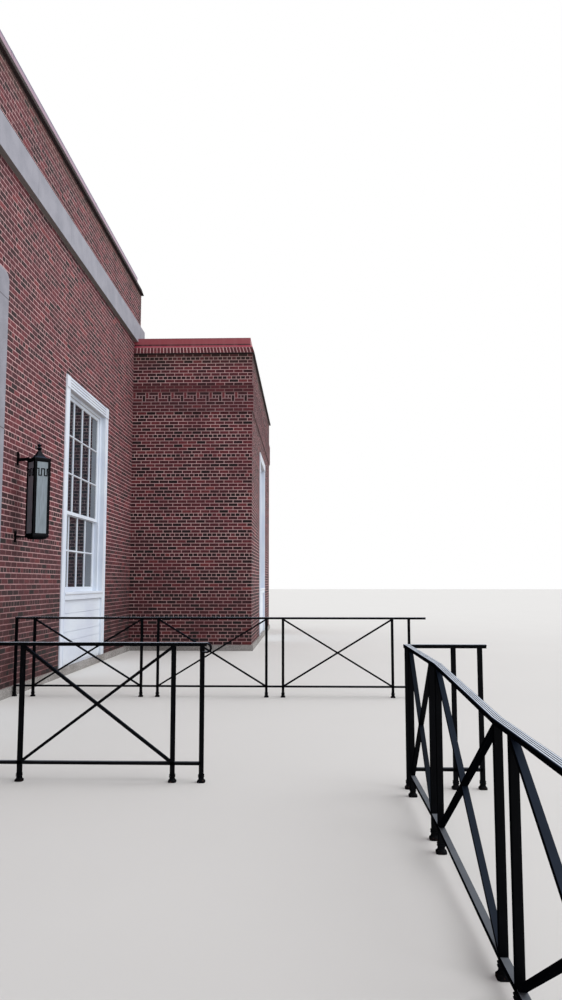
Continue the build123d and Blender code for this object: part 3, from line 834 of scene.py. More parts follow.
@dataclass
class BrickFace:
    """The bricks on one wall's outer face, course by course.

    A corner is the seed of the tones that both its faces share, or 0 where the wall meets another wall.
    """

    seed: int
    node: str
    panel: Panel
    length: float
    courses: int
    parity: int
    corners: tuple[int, int]
    openings: list[tuple[float, float, float, float]]
    fret_span: Pair | None = None
    rowlock_tone: Pair = (0.68, 0.10)
    rowlock_pitch: float = 0.0705
    rowlock_reach: Pair = (0.050, 0.006 + BRICK_PROUD)
    fret_cell: float = 0.0678
    fret_joint: float = 0.0145
    fret_foot: float = 0.022
    dark_shares: Pair = (0.62, 0.19)
    dark_tone: float = 0.15
    dark_spread: float = 0.09
    plain_tone: Pair = (0.56, 0.16)
    corner_tone: Pair = (0.48, 0.22)
    fret_spread: float = 0.06
    least_end: float = 0.020
    unevenness: float = 0.0004
    bedded: float = 0.003

    def __post_init__(self) -> None:
        """Starts the wall's piece and its own random numbers."""
        self.shell = Shell(f"{self.node}_bricks", self.panel)
        self.rng = np.random.default_rng(self.seed)

    def bond(self) -> Array:
        """Lays the courses in common bond.

        Edge k of course i stands at (k - shift) * pitch. The pitch is two half bricks, or one in each
        sixth course; the shift is half a pitch in every other course and in the header courses. Most
        bricks are mid red, a share of each course is flashed dark, and a corner's bricks have one tone on
        both faces.

        Returns:
            Left edges, right edges, courses and tones from 0, dark, to 1, bright.
        """
        course = np.arange(self.courses - 2)[:, None]
        half = self.length / round(self.length / HALF_BRICK)
        header = course % 6 == 2
        pitch = np.where(header, half, 2 * half)
        shift = np.where(header | ((course + self.parity) % 2 == 1), 0.5, 0.0)
        left = (np.arange(int(self.length / half) + 3)[None] - shift) * pitch
        right = left + pitch
        body = self.rng.normal(*self.plain_tone, left.shape)
        dark = self.rng.normal(self.dark_tone, self.dark_spread, left.shape)
        flashed = self.rng.random(left.shape) < np.where(header, *self.dark_shares)
        tone = np.clip(np.where(flashed, dark, body), 0.0, 1.0)
        last = np.argmax(right >= self.length - NEAR, axis=1)
        for corner, spot, own in ((self.corners[0], 0, 0), (self.corners[1], last, -1)):
            shared = np.random.default_rng(corner).normal(*self.corner_tone, len(course)).clip(0.0, 1.0)
            tone[np.arange(len(course)), spot] = shared if corner else tone[:, own]
        keep = (left < self.length - self.least_end) & (right > self.least_end)
        left, right = np.clip(left, 0, self.length), np.clip(right, 0, self.length)
        return rows(left, right, course, tone)[keep].T

    def cut(self, bricks: Array) -> Array:
        """Cuts the bricks at the openings: left of one they end at its jamb, right of it they start there.

        Args:
            bricks: left edges, right edges, courses and tones.

        Returns:
            The same for what is left.
        """
        for near, far, low, high in self.openings:
            middle = BASE + (bricks[2] + 0.5) * COURSE
            inside = (middle > low) & (middle < high)
            beyond = bricks[:, inside]
            beyond[0] = np.maximum(beyond[0], far)
            bricks[1, inside] = np.minimum(bricks[1, inside], near)
            bricks = np.concatenate([bricks, beyond], 1)
            bricks = bricks[:, bricks[1] - bricks[0] > SHORTEST_BRICK]
        return bricks

    def lay(self) -> None:
        """Adds every plain brick, inset by half a joint all round, each a little out of true."""
        bricks = self.cut(self.bond())
        if self.fret_span:
            bricks = bricks[:, (bricks[2] < FRET_LOW) | (bricks[2] >= FRET_HIGH)]
        left, right, course, tone = bricks
        banded = (course >= BAND_LOW) & (course < BAND_HIGH) & bool(self.fret_span)
        tone = np.where(banded, tone * 0.5 + 0.3, tone)
        proud = np.where(banded, BAND_PROUD, 0.0)
        reach = proud + BRICK_PROUD
        before, after = (reach if corner else 0.0 for corner in self.corners)
        near = np.where(left < NEAR, -before, left + JOINT / 2)
        far = np.where(right > self.length - NEAR, self.length + after, right - JOINT / 2)
        wobble = self.rng.normal(0.0, self.unevenness, (4, len(near)))
        low = BASE + course * COURSE + JOINT / 2
        self.shell.blocks((near + wobble[0] * (left > 0), far + wobble[2] * (right < self.length)),
                          (low + wobble[1], low + COURSE - JOINT),
                          (proud - self.bedded, reach + wobble[3]), tone)

    def fret(self) -> None:
        """Adds the key pattern: six bricks in each four cells of 68 mm, and plain ends."""
        start, end = self.fret_span
        gap = self.fret_joint / 2
        units = int((end - start) / (4 * self.fret_cell))
        cell = (end - start) / (4 * units) if end - start > 3.0 else self.fret_cell
        #                 u0 u1 v0 v1 tone
        unit = np.array([[0, 1, 1, 3, 0.80], [1, 4, 2, 3, 0.26], [1, 2, 1, 2, 0.36], [2, 3, 1, 2, 0.40],
                         [3, 4, 0, 2, 0.22], [0, 3, 0, 1, 0.56]])
        left, right, foot, head, tone = np.tile(unit, (units, 1)).T
        shift = np.repeat(np.arange(units), len(unit)) * 4 * cell + start
        out = (self.fret_foot, BAND_PROUD + BRICK_PROUD)
        tone = np.clip(tone + self.rng.normal(0.0, self.fret_spread, len(shift)), 0.0, 1.0)
        self.shell.blocks(
            (shift + left * cell + gap, shift + right * cell - gap),
            (BASE + (FRET_LOW + foot) * COURSE + gap, BASE + (FRET_LOW + head) * COURSE - gap), out, tone)
        low = BASE + np.arange(FRET_LOW, FRET_HIGH) * COURSE + gap
        for near, far in ((-out[1], start - gap), (start + units * 4 * cell + gap, self.length + out[1])):
            if far - near > SHORTEST_BRICK:
                self.shell.blocks((near, far), (low, low + COURSE - 2 * gap), out, np.array([0.6, 0.3, 0.7]))

    def rowlock(self) -> None:
        """Adds the bricks on edge: their faces lean back from 50 mm proud at the foot to 8 mm at the head."""
        count = round(self.length / self.rowlock_pitch)
        gaps = np.full(count + 1, self.fret_joint / 2)
        gaps[[0, -1]] = 0.0
        levels = (BASE + (self.courses - 2) * COURSE + JOINT / 2, BASE + self.courses * COURSE - 0.004)
        local = np.zeros((count, 8, 3))
        for number, (right, top, front) in enumerate(BOX_CORNERS):
            reach = self.rowlock_reach[top]
            before, after = (reach if corner else 0.0 for corner in self.corners)
            edges = np.linspace(-before, self.length + after, count + 1)
            u = edges[1:] - gaps[1:] if right else edges[:-1] + gaps[:-1]
            local[:, number] = rows(u, levels[top], reach if front else -self.bedded)
        self.shell.hexes(local, np.clip(self.rng.normal(*self.rowlock_tone, count), 0.0, 1.0))

    def build(self, finishes: Finishes) -> None:
        """Makes the wall's bricks.

        Args:
            finishes: the materials, by slot or by their own name.
        """
        self.lay()
        if self.fret_span:
            self.fret()
        self.rowlock()
        self.shell.build(finishes, "brick", "wing_brick" if self.fret_span else "hall_brick")


def void(centre: float, width: float) -> tuple[float, float, float, float]:
    """A window's opening in u and v."""
    return (centre - width / 2, centre + width / 2, 0.0, WINDOW_HEAD)


@dataclass
class Brickwork:
    """All twelve walls' bricks."""

    finishes: Finishes
    margin: float = 0.075
    wing_roof_drop: float = 0.36
    door_half: float = 1.235
    door_head: float = 4.985

    def main_faces(self) -> list[BrickFace]:
        """The four walls of the main block, without what the wings and the surround cover.

        Returns:
            Their brick faces.
        """
        length = 2 * MAIN_HALF
        past = length + 1.0
        frieze = (-1.0, past, FRIEZE_LOW, FRIEZE_HIGH)
        front = [frieze, void(MAIN_HALF - MAIN_WINDOW_PLACE, MAIN_WINDOW),
                 void(MAIN_HALF + MAIN_WINDOW_PLACE, MAIN_WINDOW),
                 (MAIN_HALF - self.door_half, MAIN_HALF + self.door_half, 0.0, self.door_head),
                 (-1.0, MAIN_HALF - WING_INNER, 0.0, WING_TOP - 0.01),
                 (MAIN_HALF + WING_INNER, past, 0.0, WING_TOP - 0.01)]
        back = [frieze] + [void(MAIN_HALF + spot, MAIN_WINDOW) for spot in BACK_WINDOW_PLACES]
        roof = WING_TOP - self.wing_roof_drop
        walls = (("front", Way.FRONT.at(-MAIN_HALF, 0), length, 0, (101, 102), front),
                 ("back", Way.BACK.at(MAIN_HALF, MAIN_DEPTH), length, 0, (103, 104), back),
                 ("right", Way.RIGHT.at(MAIN_HALF, 0), MAIN_DEPTH, 1, (102, 103),
                  [frieze, (-1.0, WING_BACK, 0.0, roof)]),
                 ("left", Way.LEFT.at(-MAIN_HALF, MAIN_DEPTH), MAIN_DEPTH, 1, (104, 101),
                  [frieze, (MAIN_DEPTH - WING_BACK, past, 0.0, roof)]))
        # The hall's bricks on edge get near-black tones: painted shade under the coping.
        return [BrickFace(seed, f"main_{name}_wall", panel, extent, MAIN_COURSES, parity, ends, openings,
                          rowlock_tone=(0.08, 0.05), dark_shares=(0.45, 0.17), dark_tone=0.25)
                for seed, (name, panel, extent, parity, ends, openings) in enumerate(walls, 11)]

    def wing_faces(self, hand: Way, seed: int) -> list[BrickFace]:
        """The four walls of one wing.

        Args:
            hand: RIGHT or LEFT.
            seed: where the first wall's random numbers start.

        Returns:
            Their brick faces.
        """
        width, back, margin = WING_OUTER - WING_INNER, WING_OUTER - MAIN_HALF, self.margin
        spots = [WING_FRONT + spot for spot in SIDE_WINDOW_PLACES]
        if hand is Way.RIGHT:
            panels = (Way.FRONT.at(WING_INNER, -WING_FRONT), Way.LEFT.at(WING_INNER, 0),
                      Way.RIGHT.at(WING_OUTER, -WING_FRONT), Way.BACK.at(WING_OUTER, WING_BACK))
            corners = ((201, 202), (0, 201), (202, 203), (203, 0))
            inner_fret = (0.0, WING_FRONT - margin)
        else:
            panels = (Way.FRONT.at(-WING_OUTER, -WING_FRONT), Way.RIGHT.at(-WING_INNER, -WING_FRONT),
                      Way.LEFT.at(-WING_OUTER, WING_BACK), Way.BACK.at(-MAIN_HALF, WING_BACK))
            corners = ((302, 301), (301, 0), (303, 302), (0, 303))
            inner_fret = (margin, WING_FRONT)
            spots = [WING_DEPTH - spot for spot in reversed(spots)]
        walls = (("front", width, 1, [width / 2], (margin, width - margin)),
                 ("inner", WING_FRONT, 0, [], inner_fret),
                 ("outer", WING_DEPTH, 0, spots, (margin, WING_DEPTH - margin)),
                 ("back", back, 1, [back / 2], (margin, back - margin)))
        wing = f"{hand.name.lower()}_wing"
        return [BrickFace(seed + number, f"{wing}_{name}_wall", panels[number], extent, WING_COURSES,
                          parity, corners[number], [void(spot, WING_WINDOW) for spot in windows], fret)
                for number, (name, extent, parity, windows, fret) in enumerate(walls)]

    def build(self) -> None:
        """Makes every wall's bricks."""
        wings = self.wing_faces(Way.RIGHT, 15) + self.wing_faces(Way.LEFT, 19)
        for face in self.main_faces() + wings:
            face.build(self.finishes)


@dataclass
class Stonework:
    """Frieze slabs and the granite base in real blocks with open joints."""

    finishes: Finishes
    slab: float = 1.52
    first_joint: float = 2.32
    other_joint: float = 0.9
    base_block: float = 1.25
    base_joint: float = 0.8
    base_out: float = 0.030
    door_half: float = 1.395
    least_block: float = 0.150
    gap: float = 0.005
    proud: float = 0.003
    bedded: float = 0.002

    def course(self, shell: Shell, length: float, up: Span, pitch: float, first: float, tint: int) -> None:
        """Adds a row of blocks: joint k stands at first + k * pitch.

        Args:
            shell: the piece, on the face's axes.
            length: the face's length.
            up: the blocks' foot and head.
            pitch: a block's length.
            first: where one joint stands.
            tint: where the tones' random numbers start.
        """
        joints = np.arange(math.floor(-first / pitch), math.ceil((length - first) / pitch) + 1)
        joints = first + pitch * joints
        joints = joints[(joints > self.least_block) & (joints < length - self.least_block)]
        along = (np.append(-self.proud, joints + self.gap / 2),
                 np.append(joints - self.gap / 2, length + self.proud))
        tones = np.random.default_rng(tint).random(len(joints) + 1)
        shell.blocks(along, up, (-self.bedded, self.proud), tones)

    def build(self) -> None:
        """Makes the slabs on the frieze's four faces and the base's blocks on every face that shows."""
        (left, front, foot), (right, back, head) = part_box("stone_frieze")
        up = (foot + self.bedded, head - self.bedded)
        wide, deep = right - left, back - front
        shell = Shell("frieze_slabs")
        for number, (shell.panel, length, first) in enumerate((
                (Way.FRONT.at(left, front), wide, self.first_joint - left),
                (Way.RIGHT.at(right, front), deep, self.other_joint),
                (Way.BACK.at(right, back), wide, self.other_joint),
                (Way.LEFT.at(left, back), deep, self.other_joint))):
            self.course(shell, length, up, self.slab, first, 40 + number)
        shell.build(self.finishes, "limestone")
        out, door = self.base_out, self.door_half
        half, rear = MAIN_HALF + out, MAIN_DEPTH + out
        inner, outer = WING_INNER - out, WING_OUTER + out
        front, back = -WING_FRONT - out, WING_BACK + out
        wide, deep, behind = outer - inner, back - front, WING_OUTER - MAIN_HALF
        up = (self.bedded, BASE - self.bedded / 2)
        shell = Shell("base_blocks")
        for number, (shell.panel, length) in enumerate((
                (Way.FRONT.at(-inner, -out), inner - door), (Way.FRONT.at(door, -out), inner - door),
                (Way.BACK.at(half, rear), 2 * half), (Way.RIGHT.at(half, back), MAIN_DEPTH - WING_BACK),
                (Way.LEFT.at(-half, rear), MAIN_DEPTH - WING_BACK),
                (Way.FRONT.at(-outer, front), wide), (Way.BACK.at(-half, back), behind),
                (Way.LEFT.at(-outer, back), deep), (Way.RIGHT.at(-inner, front), WING_FRONT),
                (Way.FRONT.at(inner, front), wide), (Way.BACK.at(outer, back), behind),
                (Way.RIGHT.at(outer, front), deep), (Way.LEFT.at(inner, -out), WING_FRONT))):
            self.course(shell, length, up, self.base_block, self.base_joint, 60 + number)
        shell.build(self.finishes, "granite")


def rounded(half_width: float, height: float, edge: float, steps: int = 3) -> Array:
    """Outline of a flat bar with rounded front edges.

    The corner is a quarter circle of the edge's radius: (half - r + r cos t, height - r + r sin t).

    Args:
        half_width: half its width.
        height: how far it stands out.
        edge: the radius.
        steps: points on each quarter.

    Returns:
        Anticlockwise points.
    """
    turn = np.linspace(0.0, math.pi / 2, steps)
    right = rows(half_width - edge + edge * np.cos(turn), height - edge + edge * np.sin(turn))
    return np.concatenate([[[-half_width, 0.0], [half_width, 0.0]], right, right[::-1] * [-1.0, 1.0]])


@dataclass
class Window:
    """Joinery that dresses one window: head, beads, bars, sill nosing and boards.

    Each light is its foot and head, its glass's n and the heights of its level bars.
    """

    shell: Shell
    half: float
    casing: float = 0.190
    step: float = 0.080
    stile: float = 0.065
    nosing: float = 1.227
    nosing_shape: tuple[float, float, float, int] = (0.022, 0.016, 0.014, 5)
    nosing_past: float = 0.020
    nosing_out: float = 0.018
    bead_shape: tuple[float, float, float] = (0.010, 0.010, 0.006)
    bead_inset: float = 0.013
    bead_reach: float = 0.012
    bead_out: float = 0.0115
    lights: tuple[tuple[Pair, float, Sizes], ...] = (
        ((2.520, 4.3074), -0.1065, (3.735, 3.128)), ((1.318, 2.470), -0.1515, (1.905,)))
    board_joints: Sizes = (0.150, 0.500, 0.636, 0.920, 1.128)
    board_gap: float = 0.010
    board_out: Pair = (-0.027, -0.016)
    reeds: int = 4
    reed: float = 0.034
    reed_pitch: float = 0.0475
    reed_out: Pair = (0.0105, 0.0255)
    block_out: Pair = (0.010, 0.0255)
    margin: float = 0.003
    seat: float = 0.002

    def bar_outline(self) -> Array:
        """Outline of a glazing bar: 34 mm wide at the glass, 13 mm at each nose, 38 mm deep."""
        front = np.array([[0.017, 0.004], [0.0065, 0.019], [-0.0065, 0.019], [-0.017, 0.004]])
        return np.concatenate([front, front[::-1] * [1.0, -1.0]])

    def add_casing(self) -> None:
        """Adds the head's square reeds between two corner blocks, the beads down the sides and the nosing."""
        inner, gap, seat = self.half - self.casing, self.margin, self.seat
        low = WINDOW_HEAD - self.casing
        edges = low + gap + self.reed_pitch * np.arange(self.reeds)
        self.shell.blocks((-inner + seat, inner - seat), (edges, edges + self.reed), self.reed_out)
        for sign in (-1, 1):
            near, far = sorted((sign * inner, sign * self.half))
            self.shell.blocks((near + gap, far - gap), (low + gap, WINDOW_HEAD - gap), self.block_out)
        outside, inside = self.half - self.bead_inset, inner + self.bead_reach
        self.shell.bars(rounded(*self.bead_shape), np.array([-outside, -inside, inside, outside]),
                        (BASE + seat, low), self.bead_out)
        past = inner + self.nosing_past
        self.shell.bars(rounded(*self.nosing_shape), (-past, past), self.nosing, self.nosing_out)

    def add_sashes(self) -> None:
        """Adds the glazing bars of both sashes and the ovolo round each light."""
        half = self.half - self.casing - self.step - self.stile
        outline = self.bar_outline()
        ovolo = np.array([[-0.010, -0.002], [0.010, -0.002], [0.006, 0.017], [-0.006, 0.017]])
        for light, plane, levels in self.lights:
            self.shell.bars(outline, half * np.array([-0.5, 0.0, 0.5]), light, plane)
            self.shell.bars(outline, (-half, half), np.array(levels), plane)
            self.shell.surround(ovolo, (-half, half), light, plane)

    def add_boards(self) -> None:
        """Adds the apron's level boards, with a 10 mm open joint between them."""
        half, gap = self.half - self.casing - self.seat / 2, self.board_gap / 2
        levels = np.array(self.board_joints)
        self.shell.blocks((-half, half), (levels[:-1] + gap, levels[1:] - gap), self.board_out)


@dataclass
class Windows:
    """Every window's joinery, face by face."""

    finishes: Finishes

    def build(self) -> None:
        """Makes the joinery of the front, the sides and the back."""
        wing, behind = (WING_INNER + WING_OUTER) / 2, (MAIN_HALF + WING_OUTER) / 2
        front = [(Way.FRONT.at(x, 0), MAIN_WINDOW) for x in (-MAIN_WINDOW_PLACE, MAIN_WINDOW_PLACE)]
        front += [(Way.FRONT.at(x, -WING_FRONT), WING_WINDOW) for x in (-wing, wing)]
        sides = [(way.at(sign * WING_OUTER, y), WING_WINDOW) for sign, way in FLANKS
                 for y in SIDE_WINDOW_PLACES]
        back = [(Way.BACK.at(x, MAIN_DEPTH), MAIN_WINDOW) for x in BACK_WINDOW_PLACES]
        back += [(Way.BACK.at(x, WING_BACK), WING_WINDOW) for x in (-behind, behind)]
        for face, places in (("front", front), ("side", sides), ("back", back)):
            shell = Shell(f"{face}_window_joinery")
            for shell.panel, width in places:
                window = Window(shell, width / 2)
                window.add_casing()
                window.add_sashes()
                window.add_boards()
            shell.build(self.finishes, "painted_wood", smooth=True)


@dataclass
class Entrance:
    """Mouldings, bars and furniture of the two doors and the light over them."""

    finishes: Finishes
    half: float = 0.975
    frame: float = 0.120
    stile: float = 0.115
    floor: float = 0.060
    transom: Pair = (2.400, 2.520)
    head: float = 4.605
    door_face: float = -0.1525
    door_glass: float = -0.1725
    fanlight_glass: float = -0.172
    glass_low: float = 0.480
    glass_rail: float = 1.35
    panel_low: float = 0.120
    panel_high: float = 0.400
    meeting: float = 0.002
    bead_shape: tuple[float, float, float] = (0.011, 0.012, 0.008)
    bar_shares: Sizes = (0.25, 0.5, 0.75)
    transom_bead: tuple[float, float, float, int] = (0.030, 0.022, 0.014, 5)
    transom_middle: float = 2.470
    transom_face: float = -0.101
    lining: float = 0.003
    lining_out: Pair = (-0.0995, -0.0005)
    pull_place: float = 0.062
    pull_middle: float = 1.100
    pull_half: float = 0.170
    pull_bow: float = 0.055
    pull_radius: float = 0.011
    kick_ends: Pair = (0.030, 0.830)
    kick_levels: Pair = (0.075, 0.115)
    kick_sink: float = 0.001
    kick_proud: float = 0.002

    def build(self) -> None:
        """Makes the mouldings, the stone lining and the pulls."""
        wood = Shell("entrance_mouldings")
        inner = self.half - self.frame
        bead = rounded(*self.bead_shape)
        high = self.transom[0] - self.stile
        for sign in (-1, 1):
            near, far = sorted((sign * (self.meeting + self.stile), sign * (inner - self.stile)))
            wood.surround(bead, (near, far), (self.glass_low, high), self.door_face)
            middle = (near + far) / 2
            wood.bars(bead, (np.array([middle, near]), np.array([middle, far])),
                      (np.array([self.glass_low, self.glass_rail]), np.array([high, self.glass_rail])),
                      self.door_glass)
            wood.surround(bead, (near, far), (self.panel_low, self.panel_high), self.door_face)
        outline = np.array([[-0.016, -0.012], [0.016, -0.012], [0.006, 0.02], [-0.006, 0.02]])
        foot = self.transom[1]
        levels = foot + (self.head - foot) * np.array(self.bar_shares)
        wood.bars(outline, inner * np.array([-0.5, 0.0, 0.5]), (foot, self.head), self.fanlight_glass)
        wood.bars(outline, (-inner, inner), levels, self.fanlight_glass)
        wood.bars(rounded(*self.transom_bead), (-inner, inner), self.transom_middle, self.transom_face)
        wood.build(self.finishes, "painted_wood", smooth=True)
        self.build_reveal()
        self.build_pulls()

    def build_reveal(self) -> None:
        """Lines the wall's cut edge between the surround and the frame with stone."""
        stone = Shell("entrance_reveal")
        low, high = self.floor + 0.001, self.head + self.frame
        half, inside = self.half, self.half - self.lining
        stone.blocks((np.array([-half, inside, -inside]), np.array([-inside, half, inside])),
                     (np.array([low, low, high - self.lining]), high), self.lining_out)
        stone.build(self.finishes, "limestone", "surround")

    def build_pulls(self) -> None:
        """Makes two bow pulls and two kick plates.

        The pull's line is a half ellipse: (place, middle - half cos t, face + bow sin t).
        """
        steel = Shell("door_pulls")
        turn = np.linspace(0.0, math.pi, 13)
        around = np.linspace(0.0, 2 * math.pi, 12, endpoint=False)[:, None]
        across = np.array([1.0, 0.0, 0.0])
        for sign in (-1, 1):
            line = rows(sign * self.pull_place, self.pull_middle - self.pull_half * np.cos(turn),
                        self.door_face + self.pull_bow * np.sin(turn))
            way = np.gradient(line, axis=0)
            way /= np.linalg.norm(way, axis=1, keepdims=True)
            lift = np.cross(way, across)[:, None]
            ring = self.pull_radius * (np.cos(around) * across + np.sin(around) * lift)
            steel.sweeps((line[:, None] + ring)[None])
            steel.blocks(tuple(sorted(sign * end for end in self.kick_ends)), self.kick_levels,
                         (self.door_face - self.kick_sink, self.door_face + self.kick_proud))
        steel.build(self.finishes, "painted_wood", "steel", True)


@dataclass
class Lantern:
    """A square lantern set cornerwise: tray, angle bars, opal panes, key pattern, roof and finial.

    Tray and cap are steps of half diagonal and height, from the body's own; the knob's are radius and height.
    """

    iron: Shell
    panes: Shell
    arms: Shell
    spot: Pair
    half: float = 0.1075
    low: float = 1.960
    pane_low: float = 2.013
    pane_high: float = 2.916
    roof_low: float = 2.964
    roof_rise: float = 0.102
    leg: float = 0.034
    leg_past: Pair = (0.004, 0.002)
    sheet: float = 0.004
    pane: float = 0.005
    pane_gap: float = 0.0005
    stroke: float = 0.013
    stroke_shares: Sizes = (0.17, 0.41, 0.685, 0.92)
    fret_low: float = 2.735
    fret_high: float = 2.833
    fret_set: float = 0.001
    plate_half: float = 0.024
    plate_thickness: float = 0.012
    plate_levels: tuple[Pair, ...] = ((1.905, 2.885), (2.045, 3.055))
    bolts: Sizes = (1.925, 2.025, 2.905, 3.035)
    bolt_radius: float = 0.009
    bolt_out: Pair = (0.0115, 0.0195)
    arm_half: float = 0.011
    arm_start: float = 0.010
    arm_past: float = 0.004
    low_arm: Pair = (1.962, 1.982)
    high_arm: float = 2.956
    high_arm_past: float = 0.012
    high_arm_lift: float = 0.008
    tray: tuple[Pair, ...] = (
        (-0.034, -0.018), (-0.030, -0.014), (-0.030, -0.002), (-0.004, 0.0), (0.0, 0.006), (0.0, 0.034),
        (-0.006, 0.040), (-0.006, 0.052), (-0.012, 0.055))
    cap: tuple[Pair, ...] = (
        (-0.012, -0.002), (-0.001, 0.0), (0.0, 0.012), (0.003, 0.018), (0.003, 0.044), (-0.003, 0.050))
    knob: tuple[Pair, ...] = (
        (0.021, 3.052), (0.019, 3.062), (0.014, 3.070), (0.013, 3.074), (0.024, 3.080), (0.032, 3.090),
        (0.032, 3.102), (0.024, 3.110), (0.014, 3.115), (0.013, 3.120), (0.023, 3.126), (0.028, 3.136),
        (0.023, 3.147), (0.012, 3.155), (0.003, 3.160))

    def sides(self) -> list[Panel]:
        """The four faces' axes, with u from the middle of the face and n from the lantern's centre."""
        ways = [(math.cos(turn), math.sin(turn)) for turn in math.pi / 4 + np.arange(4) * math.pi / 2]
        return [Panel((*self.spot, 0.0), (-sine, cosine, 0.0), (cosine, sine, 0.0)) for cosine, sine in ways]

    def add_body(self) -> None:
        """Adds the tray with its lip, the cap moulding, the swept roof, the finial and the angle bars.

        The roof's half diagonal shrinks from the body's by 0.004 + 0.124 * s**0.45, s its share of the rise.
        """
        half, reach = self.half, self.half * math.sqrt(2)
        share = np.linspace(0.0, 1.0, 9)
        self.iron.panel = Way.FRONT.at(*self.spot)
        self.iron.turned(np.array(self.tray) + (reach, self.low), 4)
        self.iron.turned(np.array(self.cap) + (reach, self.pane_high), 4)
        self.iron.turned(rows(reach - 0.004 - 0.124 * share ** 0.45,
                              self.roof_low + self.roof_rise * share), 4)
        self.iron.turned(self.knob, 14)
        bars = (np.array([-half, half - self.leg]), np.array([-half + self.leg, half - self.sheet]))
        up = (self.pane_low - self.leg_past[0], self.pane_high + self.leg_past[1])
        for self.iron.panel in self.sides():
            self.iron.blocks(bars, up, (half - self.sheet, half))

    def add_fret(self) -> None:
        """Adds the key pattern: four upright strokes on each pane, joined in turn above and below."""
        inner = self.half - self.leg
        uprights = inner * (2 * np.array(self.stroke_shares) - 1)
        edges = np.concatenate([[-inner], uprights, [inner]])
        left = np.append(uprights - self.stroke / 2, edges[:-1])
        right = np.append(uprights + self.stroke / 2, edges[1:])
        foot, head, stroke = self.fret_low, self.fret_high, self.stroke
        above = np.array([True, False, True, False, True])
        low = np.append(np.full(4, foot), np.where(above, head - stroke, foot))
        high = np.append(np.full(4, head), np.where(above, head, foot + stroke))
        face = self.half - self.fret_set
        for self.iron.panel in self.sides():
            self.iron.blocks((left, right), (low, high), (face - self.sheet, face))

    def add_panes(self) -> None:
        """Adds the four opal panes, just behind the angle bars."""
        face = self.half - self.sheet - self.pane_gap
        for self.panes.panel in self.sides():
            self.panes.blocks((-face, face - self.pane), (self.pane_low, self.pane_high),
                              (face - self.pane, face))

    def add_arms(self) -> None:
        """Adds plates, bolts and arms; the upper arm swells at both ends and lifts onto the cap.

        The upper arm's half height is 0.019 + 0.009 (2 s - 1)**4, s its share of the way out.
        """
        square = np.array([[-1, -1], [1, -1], [1, 1], [-1, 1]])
        turn = np.linspace(0.0, 2 * math.pi, 6, endpoint=False)
        share = np.linspace(0.0, 1.0, 13)[:, None]
        bolts, radius = np.array(self.bolts)[:, None, None], self.bolt_radius
        reach = -self.spot[1] - self.half * math.sqrt(2) + self.arm_past
        arms = self.arms
        arms.panel = Way.FRONT.at(self.spot[0], 0)
        arms.blocks((-self.plate_half, self.plate_half), self.plate_levels, (0.0, self.plate_thickness))
        arms.blocks((-self.arm_half, self.arm_half), self.low_arm, (self.arm_start, reach + self.arm_past))
        deep = 0.019 + 0.009 * (2 * share - 1) ** 4
        middle = self.high_arm + self.high_arm_lift * share ** 3
        arms.sweeps(rows(self.arm_half * square[:, 0], middle - deep * square[:, 1],
                         self.arm_start + (reach + self.high_arm_past) * share)[None])
        arms.sweeps(rows(radius * np.cos(turn), bolts - radius * np.sin(turn),
                         np.array(self.bolt_out)[:, None]))


@dataclass
class Lanterns:
    """Both lanterns, one piece for each material and part."""

    finishes: Finishes
    spots: tuple[Pair, ...] = ((-2.085, -0.280), (2.085, -0.280))

    def build(self) -> None:
        """Makes the ironwork, the panes and the arms."""
        iron, panes, arms = (Shell(f"lantern_{part}") for part in ("ironwork", "panes", "arms"))
        for spot in self.spots:
            lantern = Lantern(iron, panes, arms, spot)
            lantern.add_body()
            lantern.add_fret()
            lantern.add_panes()
            lantern.add_arms()
        iron.build(self.finishes, "black_iron", "lantern_iron", True, ("lantern_frames",))
        panes.build(self.finishes, "frosted_glass", stands_for=("lantern_glass",))
        arms.build(self.finishes, "black_iron", "lantern_iron", False, ("lantern_brackets",))


